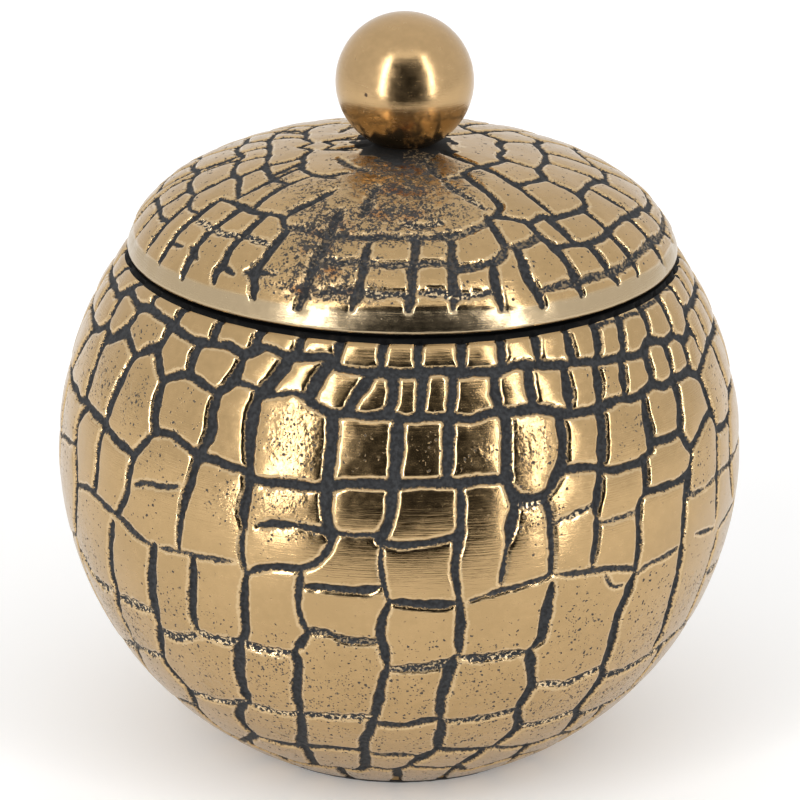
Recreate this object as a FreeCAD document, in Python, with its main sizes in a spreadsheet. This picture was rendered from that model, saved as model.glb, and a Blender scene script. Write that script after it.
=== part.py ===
import FreeCAD, Part
import math
import os
import Sketcher

# Decorative lidded jar: a hollow cast ball with a flat base, a domed cast lid that lifts off,
# and a turned ball knob held by a screw from inside the lid. Grooves in both castings part their
# skins into scales.
# The origin is the centre of the underside, +Z runs up the jar's axis.

doc = FreeCAD.newDocument("lidded_jar")

# Driving dimensions, in millimetres
SIZES = {
    # Jar body
    "body_radius": 100.0,       # outside of the ball
    "body_wall": 5.0,           # thickness of the casting
    "foot_diameter": 98.0,      # flat on which the ball is cut
    "floor_thickness": 6.0,     # metal above the flat
    "shoulder_rise": 59.6,      # flat shoulder above the ball's centre
    "shoulder_ledge": 3.8,      # width of the shoulder outside the neck ring
    "neck_rise": 1.4,           # neck ring above the shoulder
    "neck_wall": 3.0,           # thickness of the neck ring
    "lip_depth": 7.0,           # depth of the straight bore in the mouth
    "jar_round_width": 2.4,     # grooves that run round the ball
    "jar_upright_width": 2.8,   # grooves that run up and down it
    "jar_groove_depth": 1.1,
    # Pad under the foot
    "pad_thickness": 1.2,
    "pad_inset": 1.2,           # how far the pad stays inside the foot's edge
    # Lid
    "lid_inset": 0.3,           # lid's widest ring inside the shoulder's edge
    "dome_height": 33.0,        # half height of the lid's elliptical dome
    "dome_sink": 2.0,           # rim's lower face above the dome's widest ring
    "lid_wall": 4.0,            # thickness of the dome
    "boss_drop": 0.4,           # flat under the crown, below the inside of the dome
    "spigot_depth": 8.0,        # locating ring that hangs into the mouth
    "spigot_wall": 3.5,
    "spigot_clearance": 0.6,    # radial room between the spigot and the mouth
    "lid_groove_width": 2.3,
    "lid_groove_depth": 0.9,
    # Ball knob
    "knob_diameter": 39.4,
    "seat_diameter": 17.5,      # flat on the ball and spot face on the lid
    "thread_clearance": 0.2,    # knob's tapped hole over the screw
    "hole_end_room": 2.0,       # hole beyond the screw's tip
    # Screw and washers
    "screw_diameter": 5.0,
    "screw_length": 18.0,
    "tip_chamfer": 0.8,
    "head_diameter": 9.5,
    "head_height": 3.7,
    "head_bevel": 1.2,
    "slot_width": 1.2,
    "slot_depth": 1.6,
    "hole_clearance": 0.5,      # holes in the crown and washers over the screw
    "washer_diameter": 10.0,
    "washer_thickness": 1.0,
    "spring_diameter": 9.2,
    "spring_thickness": 1.2,
    "spring_split": 1.0,        # gap cut through the spring washer
    # Cuts
    "overrun": 5.0,             # how far cutting solids pass the faces they cut
}

dims = doc.addObject("Spreadsheet::Sheet", "dims")
for row, (alias, size) in enumerate(SIZES.items(), start=1):
    dims.set("A%d" % row, alias)
    dims.set("B%d" % row, str(size))
    dims.setAlias("B%d" % row, alias)
doc.recompute()

# Heights and radii that several pieces share, worked out from the driving dimensions
BASE = "dims.pad_thickness"
CENTRE = "(%s + sqrt(dims.body_radius ^ 2 - (dims.foot_diameter / 2) ^ 2))" % BASE
SHOULDER = "(%s + dims.shoulder_rise)" % CENTRE
SHOULDER_RADIUS = "sqrt(dims.body_radius ^ 2 - dims.shoulder_rise ^ 2)"
NECK_RADIUS = "(%s - dims.shoulder_ledge)" % SHOULDER_RADIUS
MOUTH_RADIUS = "(%s - dims.neck_wall)" % NECK_RADIUS
RIM = "(%s + dims.neck_rise)" % SHOULDER
LID_RADIUS = "(%s - dims.lid_inset)" % SHOULDER_RADIUS
DOME = "(%s - dims.dome_sink)" % RIM
SPIGOT_RADIUS = "(%s - dims.spigot_clearance)" % MOUTH_RADIUS
SPIGOT_BORE = "(%s - dims.spigot_wall)" % SPIGOT_RADIUS
SEAT = "(%s + dims.dome_height * sqrt(1 - (dims.seat_diameter / 2 / %s) ^ 2))" % (DOME, LID_RADIUS)
UNDERSIDE = "(%s + dims.dome_height - dims.lid_wall - dims.boss_drop)" % DOME
SCREW_HOLE_RADIUS = "((dims.screw_diameter + dims.hole_clearance) / 2)"
WASHER_FACE = "(%s - dims.washer_thickness)" % UNDERSIDE
SPRING_FACE = "(%s - dims.spring_thickness)" % WASHER_FACE


def bind(piece, **sizes):
    """Tie properties of a piece to the sheet; a double underscore in a name stands for a dot."""
    for name, expression in sizes.items():
        piece.setExpression(name.replace("__", "."), expression)


def profile(body, name, corners, arcs):
    """Closed half section in the XZ plane of a body.

    Each corner is (x, z, held): two expressions and which of them are held, because a corner on an
    arc follows it in the other. arcs maps a side's number to (height of its centre, radius, whether
    the side runs upwards), with every centre on the axis.
    """
    sketch = body.newObject("Sketcher::SketchObject", name)
    plane = [item for item in body.Origin.OriginFeatures if item.Role == "XZ_Plane"][0]
    sketch.AttachmentSupport = [(plane, "")]
    sketch.MapMode = "FlatFace"
    places = []
    for x, z, held in corners:
        places.append(FreeCAD.Vector(sketch.evalExpression(x), sketch.evalExpression(z), 0))
    ends = []
    for side, start in enumerate(places):
        end = places[(side + 1) % len(places)]
        if side not in arcs:
            sketch.addGeometry(Part.LineSegment(start, end), False)
            ends.append((1, 2))
            continue
        height, radius, upwards = arcs[side]
        centre = FreeCAD.Vector(0, sketch.evalExpression(height), 0)
        circle = Part.Circle(centre, FreeCAD.Vector(0, 0, 1), sketch.evalExpression(radius))
        low, high = (start, end) if upwards else (end, start)
        arc = Part.ArcOfCircle(circle, circle.parameter(low), circle.parameter(high))
        sketch.addGeometry(arc, False)
        ends.append((1, 2) if upwards else (2, 1))

    def hold(kind, expression, *which):
        size = sketch.evalExpression(expression)
        number = sketch.addConstraint(Sketcher.Constraint(kind, *which, size))
        label = "held_%d" % number
        sketch.renameConstraint(number, label)
        sketch.setExpression("Constraints." + label, expression)

    for side in range(len(places)):
        after = (side + 1) % len(places)
        meet = Sketcher.Constraint("Coincident", side, ends[side][1], after, ends[after][0])
        sketch.addConstraint(meet)
    for side, (x, z, held) in enumerate(corners):
        point = (side, ends[side][0])
        if "x" in held and x == "0":
            sketch.addConstraint(Sketcher.Constraint("PointOnObject", *point, -2))
        elif "x" in held:
            hold("DistanceX", x, -1, 1, *point)
        if "z" in held and z == "0":
            sketch.addConstraint(Sketcher.Constraint("PointOnObject", *point, -1))
        elif "z" in held:
            hold("DistanceY", z, -1, 1, *point)
    for side, (height, radius, upwards) in arcs.items():
        sketch.addConstraint(Sketcher.Constraint("PointOnObject", side, 3, -2))
        hold("DistanceY", height, -1, 1, side, 3)
        hold("Radius", radius, side)
    return sketch


def turned_body(label, corners, arcs):
    """A body turned about its own Z axis from one half section."""
    body = doc.addObject("PartDesign::Body", label)
    sketch = profile(body, label + "_section", corners, arcs)
    turn = body.newObject("PartDesign::Revolution", label + "_turn")
    turn.Profile = sketch
    turn.ReferenceAxis = (sketch, ["V_Axis"])
    turn.Angle = 360
    doc.recompute()
    return body


def disc(name, radius, height, bottom):
    """A plain cylinder on the jar's axis."""
    cylinder = doc.addObject("Part::Cylinder", name)
    bind(cylinder, Radius=radius, Height=height, Placement__Base__z=bottom)
    return cylinder


def dome(name, across, height):
    """The upper half of an ellipsoid standing on the dome's widest ring."""
    half = doc.addObject("Part::Ellipsoid", name)
    bind(half, Radius1=height, Radius2=across, Radius3=across, Placement__Base__z=DOME)
    half.Angle1 = 0
    return half


def joined(kind, name, base, tool):
    """A boolean of two objects: Part::Cut, Part::Fuse or Part::Common."""
    result = doc.addObject(kind, name)
    result.Base = base
    result.Tool = tool
    return result


def both_halves(line):
    """A groove of the front half and its mirror image behind, each as its points and whether it closes.

    A groove that reaches the side of the jar runs on into its image.
    """
    back = [(180 - turn, up) for turn, up in reversed(line)]
    from_left = line[0][0] == -90
    to_right = line[-1][0] == 90
    if from_left and to_right:
        return [(line + back[1:-1], True)]
    if to_right:
        return [(line + back[1:], False)]
    if from_left:
        return [(back + line[1:], False)]
    return [(line, False), (back, False)]


def groove_bar(points, closed, across, tall, width):
    """A bar with mitred corners that follows points on an ellipsoid and stands through its skin."""
    places = []
    for turn, up in points:
        level = across * math.cos(math.radians(up))
        x = level * math.sin(math.radians(turn))
        y = -level * math.cos(math.radians(turn))
        places.append(FreeCAD.Vector(x, y, tall * math.sin(math.radians(up))))
    sections = []
    for number, place in enumerate(places):
        outward = FreeCAD.Vector(place.x / across ** 2, place.y / across ** 2, place.z / tall ** 2)
        outward.normalize()
        ways = []
        if closed or number > 0:
            ways.append(place - places[number - 1])
        if closed or number + 1 < len(places):
            ways.append(places[(number + 1) % len(places)] - place)
        ways = [(way - outward * way.dot(outward)).normalize() for way in ways]
        along = (ways[0] + ways[-1]).normalize()
        side = outward.cross(along) * (width / 2 / along.dot(ways[0]))
        foot = place - outward * dims.overrun
        top = place + outward * dims.overrun
        corners = [foot - side, foot + side, top + side, top - side, foot - side]
        sections.append(Part.makePolygon(corners))
    return Part.makeLoft(sections, True, True, closed)


def groove_net(name, runs, across, tall, centre):
    """The bars of every groove in one solid; runs pairs each table of grooves with their width."""
    bars = []
    for lines, width in runs:
        for line in lines:
            for points, closed in both_halves(line):
                bars.append(groove_bar(points, closed, across, tall, width))
    net = doc.addObject("Part::Feature", name)
    net.Shape = bars[0].multiFuse(bars[1:])
    bind(net, Placement__Base__z=centre)
    return net


# Jar body: the ball with its flat base, shoulder, neck ring, mouth and hollow
ledge = "(%s - dims.lip_depth)" % RIM
floor = "(%s + dims.floor_thickness)" % BASE
inner_radius = "(dims.body_radius - dims.body_wall)"
ledge_radius = "sqrt(%s ^ 2 - (%s - %s) ^ 2)" % (inner_radius, ledge, CENTRE)
floor_radius = "sqrt(%s ^ 2 - (%s - %s) ^ 2)" % (inner_radius, CENTRE, floor)
jar_blank = turned_body(
    "jar_blank",
    [
        ("0", BASE, "xz"),
        ("dims.foot_diameter / 2", BASE, "z"),
        (SHOULDER_RADIUS, SHOULDER, "z"),
        (NECK_RADIUS, SHOULDER, "xz"),
        (NECK_RADIUS, RIM, "xz"),
        (MOUTH_RADIUS, RIM, "xz"),
        (MOUTH_RADIUS, ledge, "xz"),
        (ledge_radius, ledge, "z"),
        (floor_radius, floor, "z"),
        ("0", floor, "xz"),
    ],
    {1: (CENTRE, "dims.body_radius", True), 7: (CENTRE, inner_radius, False)},
)

# Grooves of the jar's front half, in degrees: turn from the front and height above the ball's middle.
# Those round the ball part it into rows, and the upright ones part the rows into scales.
JAR_ROUND = [
    [(-90, 32), (-80, 32.2), (-70, 33.5), (-58, 33.7), (-49, 33), (-38, 32.3), (-28, 32.9), (-20, 33.1),
    (-12.5, 32.8), (-3, 31.7), (8, 31.9), (18, 31.4), (26, 31.5), (35, 30.7), (46, 29.6), (53, 30.3),
    (64, 28.2), (70, 30.8), (77, 31), (90, 31)], [(-90, 25.5), (-76, 24.9), (-70.2, 27.2), (-66, 25.8),
    (-61.5, 28.2), (-55.5, 26)], [(-46, 24.2), (-40, 26.6), (-33.2, 25)], [(-15.8, 26.2), (-11.3, 24.7),
    (-2, 25), (8.5, 24.7), (18, 24.9), (24, 24.8), (30, 23.2), (37, 23.2), (50, 23.8), (57, 23.2),
    (64.5, 21.6), (70, 23), (77, 24), (90, 23.5)], [(-90, 14.2), (-80.5, 14.5), (-67.8, 14.4),
    (-58, 13.4), (-48.8, 11), (-44.6, 16.3), (-34.5, 15), (-25, 14.2), (-18, 13.2), (-11.6, 13.6),
    (-1, 14.3), (8.5, 14.6), (17.7, 14.2), (20, 11.3), (24.5, 11.8), (26, 14.2), (34.5, 13.9),
    (44, 13.2), (46, 15.2), (54.3, 15.1), (57, 11.6), (66, 14.6)], [(67, 11.6), (75, 11), (78, 13.8),
    (90, 14)], [(-2.7, 5.3), (9.5, 5.9)], [(-22.3, 6.3), (-10.6, 6)], [(43.6, 7.8), (55.3, 7.8)],
    [(-66.8, 0.2), (-59, 1.4), (-52, 0.4), (-43, -2), (-34.2, -1.5), (-24.5, -2.2), (-16, 0),
    (-11, 3.4), (-10.3, 5.8)], [(-14.3, -2.9), (-2.2, -2.2)], [(-1.2, -4.8), (9.7, -5), (24.6, -2.2),
    (32, -2.6), (41, -5), (53, -4), (66, -5), (77, -5.2), (90, -5)], [(-90, -15), (-80.5, -13.5),
    (-70.5, -11)], [(-70.8, -13), (-62, -16), (-55.2, -15.2), (-44.2, -15)], [(-44.3, -18.3),
    (-35, -15.8), (-26.5, -15.6), (-16.8, -15.6)], [(-14.4, -11), (-2.4, -12)], [(-1.4, -17.3),
    (9.6, -15.3), (22.6, -15.3)], [(65, -14), (79, -15), (90, -15)], [(-90, -30), (-68.5, -31.4),
    (-57, -26.8), (-47, -25.2)], [(-44.4, -32.5), (-29, -30.2), (-17.8, -30), (-4, -29.6), (2, -31),
    (8.4, -29.5), (23, -29)], [(24.2, -23.4), (39.2, -23.3)], [(40, -25.6), (53.5, -25.6),
    (65.4, -24.4), (78, -27), (90, -27)], [(-90, -41), (-75, -42), (-62, -42.8), (-46.8, -38.2)],
    [(-46, -46), (-40, -47.5), (-32.2, -41.2), (-20.5, -41.4), (-6.4, -40.4), (4.6, -41.6)],
    [(3.5, -46.3), (8.8, -39.2), (21.7, -40.6), (31.3, -43.2), (40.2, -42.8), (47.5, -44.5),
    (65.6, -46), (90, -46)], [(24.6, -34.3), (38.6, -34)], [(39.8, -36.2), (57.2, -36.6), (73.2, -37.5),
    (90, -37)],
]
JAR_UPRIGHT = [
    [(-76, 39), (-79.5, 32.5)], [(-64.5, 39), (-69.7, 33.6)], [(-57.8, 39), (-58, 34)], [(-46.5, 39),
    (-48.9, 33)], [(-37.4, 39), (-37.9, 32.3)], [(-27.6, 39), (-28.5, 33)], [(-19.2, 39), (-19.8, 33)],
    [(-11.5, 39), (-12.2, 33)], [(-2.9, 39), (-3.4, 31.8)], [(3.9, 39), (3.2, 31.8)], [(12.2, 39),
    (11.2, 31.8)], [(19.9, 39), (18.9, 31.5)], [(27.2, 39), (26.2, 31.5)], [(34.2, 39), (33, 30.8)],
    [(41.5, 39), (38.8, 30.3)], [(48.8, 39), (45.3, 29.7)], [(56, 39), (53.6, 30.4)], [(63.6, 39),
    (61.7, 29)], [(71.2, 39), (70.2, 31)], [(78.3, 39), (76.8, 31)], [(-80, 32.2), (-80.2, 25)],
    [(-70.2, 33.4), (-70.1, 27.2)], [(-61, 33.5), (-61.5, 28.2)], [(-49.2, 33), (-50, 29.5),
    (-55.5, 26)], [(-50, 29.5), (-46, 24.2)], [(-40.3, 32.4), (-40.3, 26.6)], [(-30.2, 32.5),
    (-30.5, 29.3), (-33.2, 25)], [(-20.4, 33), (-25.3, 26)], [(-12.9, 32.8), (-15.8, 26.2)],
    [(-5, 31.9), (-9.3, 24.9)], [(-1.3, 31.7), (-1.9, 25)], [(4.3, 31.8), (3.3, 24.8)], [(9.6, 31.9),
    (8.6, 24.7)], [(17.3, 31.4), (17.4, 24.9)], [(24, 31.5), (23.6, 24.8)], [(31, 31.1), (30.4, 23.2)],
    [(38, 30.4), (36.7, 23.2)], [(44.6, 29.7), (42.6, 23.5)], [(51, 30), (50.3, 23.8)], [(57.4, 29.4),
    (56.6, 23.2)], [(63.6, 28.3), (63.2, 22)], [(69, 30.3), (69.2, 22.8)], [(75.8, 31), (75.4, 23.8)],
    [(-76, 24.9), (-80.5, 14.5)], [(-67.6, 26.3), (-67.8, 14.4)], [(-55.5, 26), (-58, 13.4)],
    [(-46, 24.2), (-44.6, 16.3)], [(-33.2, 25), (-34.5, 15)], [(-25.3, 26), (-24.7, 14.2)],
    [(-11.3, 24.7), (-11.6, 13.6)], [(-0.3, 24.9), (-1, 14.3)], [(8.4, 24.7), (7.7, 14.6)],
    [(18.1, 24.9), (17.7, 14.2)], [(28, 23.7), (27.4, 16.3), (24.5, 11.8)], [(36.5, 23.2),
    (34.6, 13.9)], [(46.9, 23.6), (46, 15.2)], [(56.4, 23.2), (54.3, 15.1)], [(64.9, 21.7), (67, 11.6)],
    [(77, 24), (78, 13.8)], [(-80.5, 14.5), (-80, 3.5), (-81, -13.5)], [(-66.3, 14.3), (-69, 9.5),
    (-66.8, 0.3), (-70.5, -10.5)], [(-58.2, 13.4), (-59.2, 1.4)], [(-48.8, 11), (-49.6, 5), (-52, 0.4)],
    [(-34.5, 15), (-36.6, 4.8)], [(-24.7, 14.2), (-24.9, 5.5)], [(-11.6, 13.6), (-10.3, 5.8)],
    [(-1.1, 14.3), (-2.7, 5.3)], [(9.7, 14.6), (9.4, 5.9), (9.3, -5)], [(17.8, 14), (17.6, 4.8)],
    [(24, 11.7), (24.6, -2.2)], [(34.6, 13.9), (33, 7)], [(44, 13.2), (43.6, 7.8), (41.6, 3), (41, -5)],
    [(57, 11.6), (53.6, 5), (52.9, -4)], [(67, 11.6), (64.8, -5)], [(75, 11), (72.5, 4), (76, -5.2)],
    [(-53, -0.5), (-55.2, -15.2), (-57, -20)], [(-42.6, -2), (-44.2, -15), (-46.9, -25)],
    [(-34.2, -1.6), (-35, -15.7)], [(-24.4, -2.3), (-26.5, -15.6), (-28.3, -30)], [(-15.2, -0.5),
    (-15.5, -7), (-14.4, -11), (-16.8, -15.6), (-17.7, -30)], [(-1.3, -4.9), (-2.4, -12), (-1.4, -17.3),
    (-4, -29.6)], [(9.8, -5), (10, -15.2), (8.3, -29.5)], [(25, -2.3), (24.2, -13), (22.6, -15.3),
    (24.2, -23.4), (23, -29)], [(41, -5), (39, -13), (39.2, -23.3), (39.8, -26), (38.5, -33),
    (40.6, -38), (40.2, -42.8)], [(52.9, -4), (53, -13), (53.6, -25.6)], [(66.3, -5), (65, -14),
    (65.4, -24.4)], [(-70.8, -11), (-71, -17), (-68.5, -31.4)], [(78, -5.2), (79, -15), (78, -27)],
    [(-47, -25.2), (-44.4, -32.5), (-46.8, -38.2), (-46, -46)], [(-57.3, -27), (-62, -42.8)],
    [(-29, -30.2), (-33, -36.5), (-32.2, -41.2)], [(-17.8, -30), (-20.5, -41.4), (-20.6, -50.8)],
    [(-4, -29.6), (-6.4, -40.4), (-9, -50.4)], [(8.5, -29.5), (8.8, -39.2)], [(23, -29), (24.6, -34.3),
    (21.7, -40.6), (15.6, -48.4)], [(57, -25.3), (57.2, -36.6)], [(74.3, -26.3), (73.2, -37.5)],
    [(31.3, -43.2), (30.8, -49.2)], [(48, -36.5), (47.5, -44.5)], [(65, -37), (65.6, -46)],
]
jar_runs = [(JAR_ROUND, dims.jar_round_width), (JAR_UPRIGHT, dims.jar_upright_width)]
jar_bars = groove_net("jar_bars", jar_runs, dims.body_radius, dims.body_radius, CENTRE)
jar_groove_floor = doc.addObject("Part::Sphere", "jar_groove_floor")
bind(jar_groove_floor, Radius="dims.body_radius - dims.jar_groove_depth", Placement__Base__z=CENTRE)
jar_grooves = joined("Part::Cut", "jar_grooves", jar_bars, jar_groove_floor)
jar_body = joined("Part::Cut", "jar_body", jar_blank, jar_grooves)

# Base pad: a thin disc stuck under the flat foot
base_pad = disc("base_pad", "dims.foot_diameter / 2 - dims.pad_inset", "dims.pad_thickness", "0")

# Lid shell: an elliptical dome with a flat seat for the knob and a spigot that hangs into the mouth
outer_dome = dome("outer_dome", LID_RADIUS, "dims.dome_height")
lid_slab = disc("lid_slab", LID_RADIUS + " + dims.overrun", "%s - %s" % (SEAT, RIM), RIM)
lid_cap = joined("Part::Common", "lid_cap", outer_dome, lid_slab)
spigot_foot = "(%s - dims.spigot_depth)" % RIM
spigot = disc("spigot", SPIGOT_RADIUS, "dims.spigot_depth + dims.lid_wall", spigot_foot)
lid_solid = joined("Part::Fuse", "lid_solid", lid_cap, spigot)
inner_dome = dome("inner_dome", LID_RADIUS + " - dims.lid_wall", "dims.dome_height - dims.lid_wall")
hollow_top = disc("hollow_top", SPIGOT_BORE, "%s - %s" % (UNDERSIDE, DOME), DOME)
lid_hollow = joined("Part::Common", "lid_hollow", inner_dome, hollow_top)
spigot_hollow = disc(
    "spigot_hollow", SPIGOT_BORE, "dims.spigot_depth + dims.overrun", spigot_foot + " - dims.overrun")
lid_open = joined("Part::Cut", "lid_open", lid_solid, lid_hollow)
lid_bored = joined("Part::Cut", "lid_bored", lid_open, spigot_hollow)
crown_depth = "%s - %s + 2 * dims.overrun" % (SEAT, UNDERSIDE)
crown_hole = disc("crown_hole", SCREW_HOLE_RADIUS, crown_depth, UNDERSIDE + " - dims.overrun")
lid_blank = joined("Part::Cut", "lid_blank", lid_bored, crown_hole)

# Grooves of the lid's front half, in degrees: turn from the front and angle down from the crown
LID_SPOKES = [
    [(-88, 48), (-87.7, 62), (-88, 76)], [(-78.3, 50.5), (-79, 62), (-78.5, 76)], [(-73.2, 38.5),
    (-72.7, 50)], [(-69.6, 53.3), (-68.6, 76)], [(-62, 46), (-61, 76.5)], [(-51.5, 45), (-51.8, 77)],
    [(-41.5, 44.5), (-42.2, 76)], [(-32.6, 48), (-32.3, 77)], [(-20, 48), (-20.7, 77)], [(-8.5, 48),
    (-9.6, 76)], [(3.4, 47), (1.6, 76)], [(13, 47), (10.7, 76)], [(21, 58), (20.4, 77)], [(26, 42),
    (28.5, 56), (29.3, 77)], [(36.6, 45), (39.2, 60), (39.5, 77)], [(43.8, 45), (44.5, 57)],
    [(48.4, 58), (50.3, 77)], [(58.4, 47), (57.8, 77)], [(73, 43), (73, 57)], [(69.6, 57), (70.5, 78)],
    [(83.6, 45), (82, 59)], [(80.3, 58.5), (84, 78)], [(-85, 36.5), (-84, 29)], [(-70.3, 38),
    (-71, 31)], [(-57, 43), (-57, 32)], [(-48, 45), (-47.5, 32)], [(-35, 44.5), (-29, 31)], [(27, 41.5),
    (33.7, 36), (35.5, 21)], [(46.8, 46), (49, 31.5), (51.5, 20.5)], [(65, 43), (64.5, 32.5)],
    [(83.7, 44.3), (83.5, 30.5)], [(71, 30.3), (71.5, 22)], [(-71.5, 31), (-72, 21.5)],
]
LID_ROUND = [
    [(-88, 62), (-79, 61.7), (-69.2, 62)], [(-61.3, 56), (-51.8, 56), (-41.9, 55), (-32.5, 55.5)],
    [(-90, 47.5), (-78, 50.5), (-72.7, 50), (-69.6, 53.3), (-61.7, 53.6)], [(-62, 46), (-51.5, 45),
    (-41.5, 44.6), (-35, 44.5), (-32.6, 48), (-20, 48), (-8.5, 48), (3.4, 47), (13, 47), (26, 42)],
    [(-20.2, 57.5), (-8.9, 57.5), (3, 57.5), (12, 58.5), (21, 58), (26.5, 52)], [(28, 53.5),
    (37.5, 50.5)], [(38.6, 56), (48.4, 58), (58, 57), (69.6, 56.7), (80.3, 58.5), (90, 62)], [(26, 42),
    (36.6, 45), (46.8, 46), (58.4, 47), (65, 43), (76, 42.5), (83.7, 44.3), (90, 46.5)], [(-20.5, 70),
    (-9.3, 68), (1.9, 68.6), (10.9, 69.5), (20.4, 69.3)], [(29, 71), (39.3, 71), (49.5, 71), (58, 70),
    (70, 68.7), (81.8, 70), (90, 70)], [(-90, 35.3), (-75, 38.5), (-66, 39), (-57, 43), (-51.5, 45)],
    [(-90, 28.6), (-76, 30), (-58, 32.4), (-47.5, 32)], [(49, 31.5), (64.5, 32.7), (76, 30),
    (90, 30.5)], [(35.5, 21), (51.5, 20.5), (71.5, 22), (90, 21)], [(-90, 22), (-72, 21.7), (-58, 25),
    (-40, 25.5)],
]
lid_lines = [[(turn, 90 - down) for turn, down in line] for line in LID_SPOKES + LID_ROUND]
lid_radius = outer_dome.evalExpression(LID_RADIUS)
lid_bars = groove_net("lid_bars", [(lid_lines, dims.lid_groove_width)], lid_radius, dims.dome_height, DOME)
lid_groove_floor = dome(
    "lid_groove_floor", LID_RADIUS + " - dims.lid_groove_depth", "dims.dome_height - dims.lid_groove_depth")
lid_grooves = joined("Part::Cut", "lid_grooves", lid_bars, lid_groove_floor)
lid_shell = joined("Part::Cut", "lid_shell", lid_blank, lid_grooves)

# Ball knob: a turned ball with a flat seat and a blind tapped hole, placed on the lid's spot face
knob_radius = "(dims.knob_diameter / 2)"
knob_centre = "sqrt(%s ^ 2 - (dims.seat_diameter / 2) ^ 2)" % knob_radius
tapped_radius = "((dims.screw_diameter + dims.thread_clearance) / 2)"
reach = "(dims.screw_length - (%s - %s))" % (SEAT, SPRING_FACE)
hole_depth = "(%s + dims.hole_end_room)" % reach
ball_knob = turned_body(
    "ball_knob",
    [
        (tapped_radius, "0", "xz"),
        ("dims.seat_diameter / 2", "0", "z"),
        ("0", "%s + %s" % (knob_centre, knob_radius), "x"),
        ("0", hole_depth, "xz"),
        (tapped_radius, hole_depth, "xz"),
    ],
    {1: (knob_centre, knob_radius, True)},
)
bind(ball_knob, Placement__Base__z=SEAT)

# Knob screw: a slotted pan-head screw, pointing up, with the face under its head at its own zero
shank_radius = "dims.screw_diameter / 2"
head_radius = "dims.head_diameter / 2"
knob_screw = turned_body(
    "knob_screw",
    [
        ("0", "-dims.head_height", "xz"),
        (head_radius + " - dims.head_bevel", "-dims.head_height", "xz"),
        (head_radius, "-dims.head_height + dims.head_bevel", "xz"),
        (head_radius, "0", "xz"),
        (shank_radius, "0", "xz"),
        (shank_radius, "dims.screw_length - dims.tip_chamfer", "xz"),
        (shank_radius + " - dims.tip_chamfer", "dims.screw_length", "xz"),
        ("0", "dims.screw_length", "xz"),
    ],
    {},
)
blank_volume = knob_screw.Shape.Volume
slot_box = knob_screw.newObject("PartDesign::SubtractiveBox", "knob_screw_slot")
bind(
    slot_box,
    Length="dims.head_diameter + 2 * dims.overrun",
    Width="dims.slot_width",
    Height="dims.slot_depth + dims.overrun",
    AttachmentOffset__Base__x="-dims.head_diameter / 2 - dims.overrun",
    AttachmentOffset__Base__y="-dims.slot_width / 2",
    AttachmentOffset__Base__z="-dims.head_height - dims.overrun",
)
bind(knob_screw, Placement__Base__z=SPRING_FACE)


def washer(label, diameter, thickness, bottom):
    """A flat ring that clears the screw."""
    blank = disc(label + "_blank", diameter + " / 2", thickness, bottom)
    depth = thickness + " + 2 * dims.overrun"
    hole = disc(label + "_hole", SCREW_HOLE_RADIUS, depth, bottom + " - dims.overrun")
    return joined("Part::Cut", label, blank, hole)


# Plain washer under the crown, and the split spring washer between it and the screw's head
plain_washer = washer("plain_washer", "dims.washer_diameter", "dims.washer_thickness", WASHER_FACE)
spring_ring = washer("spring_ring", "dims.spring_diameter", "dims.spring_thickness", SPRING_FACE)
split_box = doc.addObject("Part::Box", "split_box")
bind(
    split_box,
    Length="dims.spring_diameter / 2 + dims.overrun",
    Width="dims.spring_split",
    Height="dims.spring_thickness + 2 * dims.overrun",
    Placement__Base__y="-dims.spring_split / 2",
    Placement__Base__z=SPRING_FACE + " - dims.overrun",
)
spring_washer = joined("Part::Cut", "spring_washer", spring_ring, split_box)

doc.recompute()

# Every piece has to be sound before anything is written
for item in doc.Objects:
    if "Invalid" in item.State or "Error" in item.State:
        raise RuntimeError("%s failed: %s" % (item.Name, item.State))
if not knob_screw.Shape.Volume < blank_volume:
    raise RuntimeError("the screw's slot cut nothing")
pieces = [jar_body, base_pad, lid_shell, ball_knob, knob_screw, plain_washer, spring_washer]
for piece in pieces:
    if piece.Shape.isNull() or not piece.Shape.isValid() or len(piece.Shape.Solids) != 1:
        raise RuntimeError("%s has no sound shape" % piece.Label)

os.makedirs("parts", exist_ok=True)
for piece in pieces:
    piece.Shape.exportStep("parts/%s.step" % piece.Label)
    box = piece.Shape.BoundBox
    print("%-14s %d solid, %9.1f mm3, z %7.2f to %7.2f" % (
        piece.Label, len(piece.Shape.Solids), piece.Shape.Volume, box.ZMin, box.ZMax))
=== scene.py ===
from math import asin, cos, degrees, radians, sin, sqrt

import bpy
import numpy as np
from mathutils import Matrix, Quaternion, Vector


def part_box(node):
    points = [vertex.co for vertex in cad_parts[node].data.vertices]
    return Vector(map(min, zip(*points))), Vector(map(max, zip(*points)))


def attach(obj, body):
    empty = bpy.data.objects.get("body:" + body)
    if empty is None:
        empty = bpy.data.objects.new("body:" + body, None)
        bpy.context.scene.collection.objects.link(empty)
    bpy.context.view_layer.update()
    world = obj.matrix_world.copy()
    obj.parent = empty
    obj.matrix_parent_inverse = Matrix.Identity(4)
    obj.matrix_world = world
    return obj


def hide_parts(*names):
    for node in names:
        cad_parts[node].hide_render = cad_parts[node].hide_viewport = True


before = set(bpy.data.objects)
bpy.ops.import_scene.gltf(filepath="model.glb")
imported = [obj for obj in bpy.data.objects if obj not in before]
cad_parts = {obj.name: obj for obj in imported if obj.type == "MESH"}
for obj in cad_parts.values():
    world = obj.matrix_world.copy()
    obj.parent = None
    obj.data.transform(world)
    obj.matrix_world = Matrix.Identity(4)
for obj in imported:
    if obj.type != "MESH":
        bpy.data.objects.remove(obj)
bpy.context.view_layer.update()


# Jar body. A hollow ball cast in aluminium in one pour, with crocodile scales in the pattern. The
# casting is coloured to antique brass, washed with black that stays in the grooves, and rubbed back
# so that the scales shine. The foot is cut flat, and the mouth is turned with a ledge and a neck.
MM = 0.001
STEPS_ROUND = 1080

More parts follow.
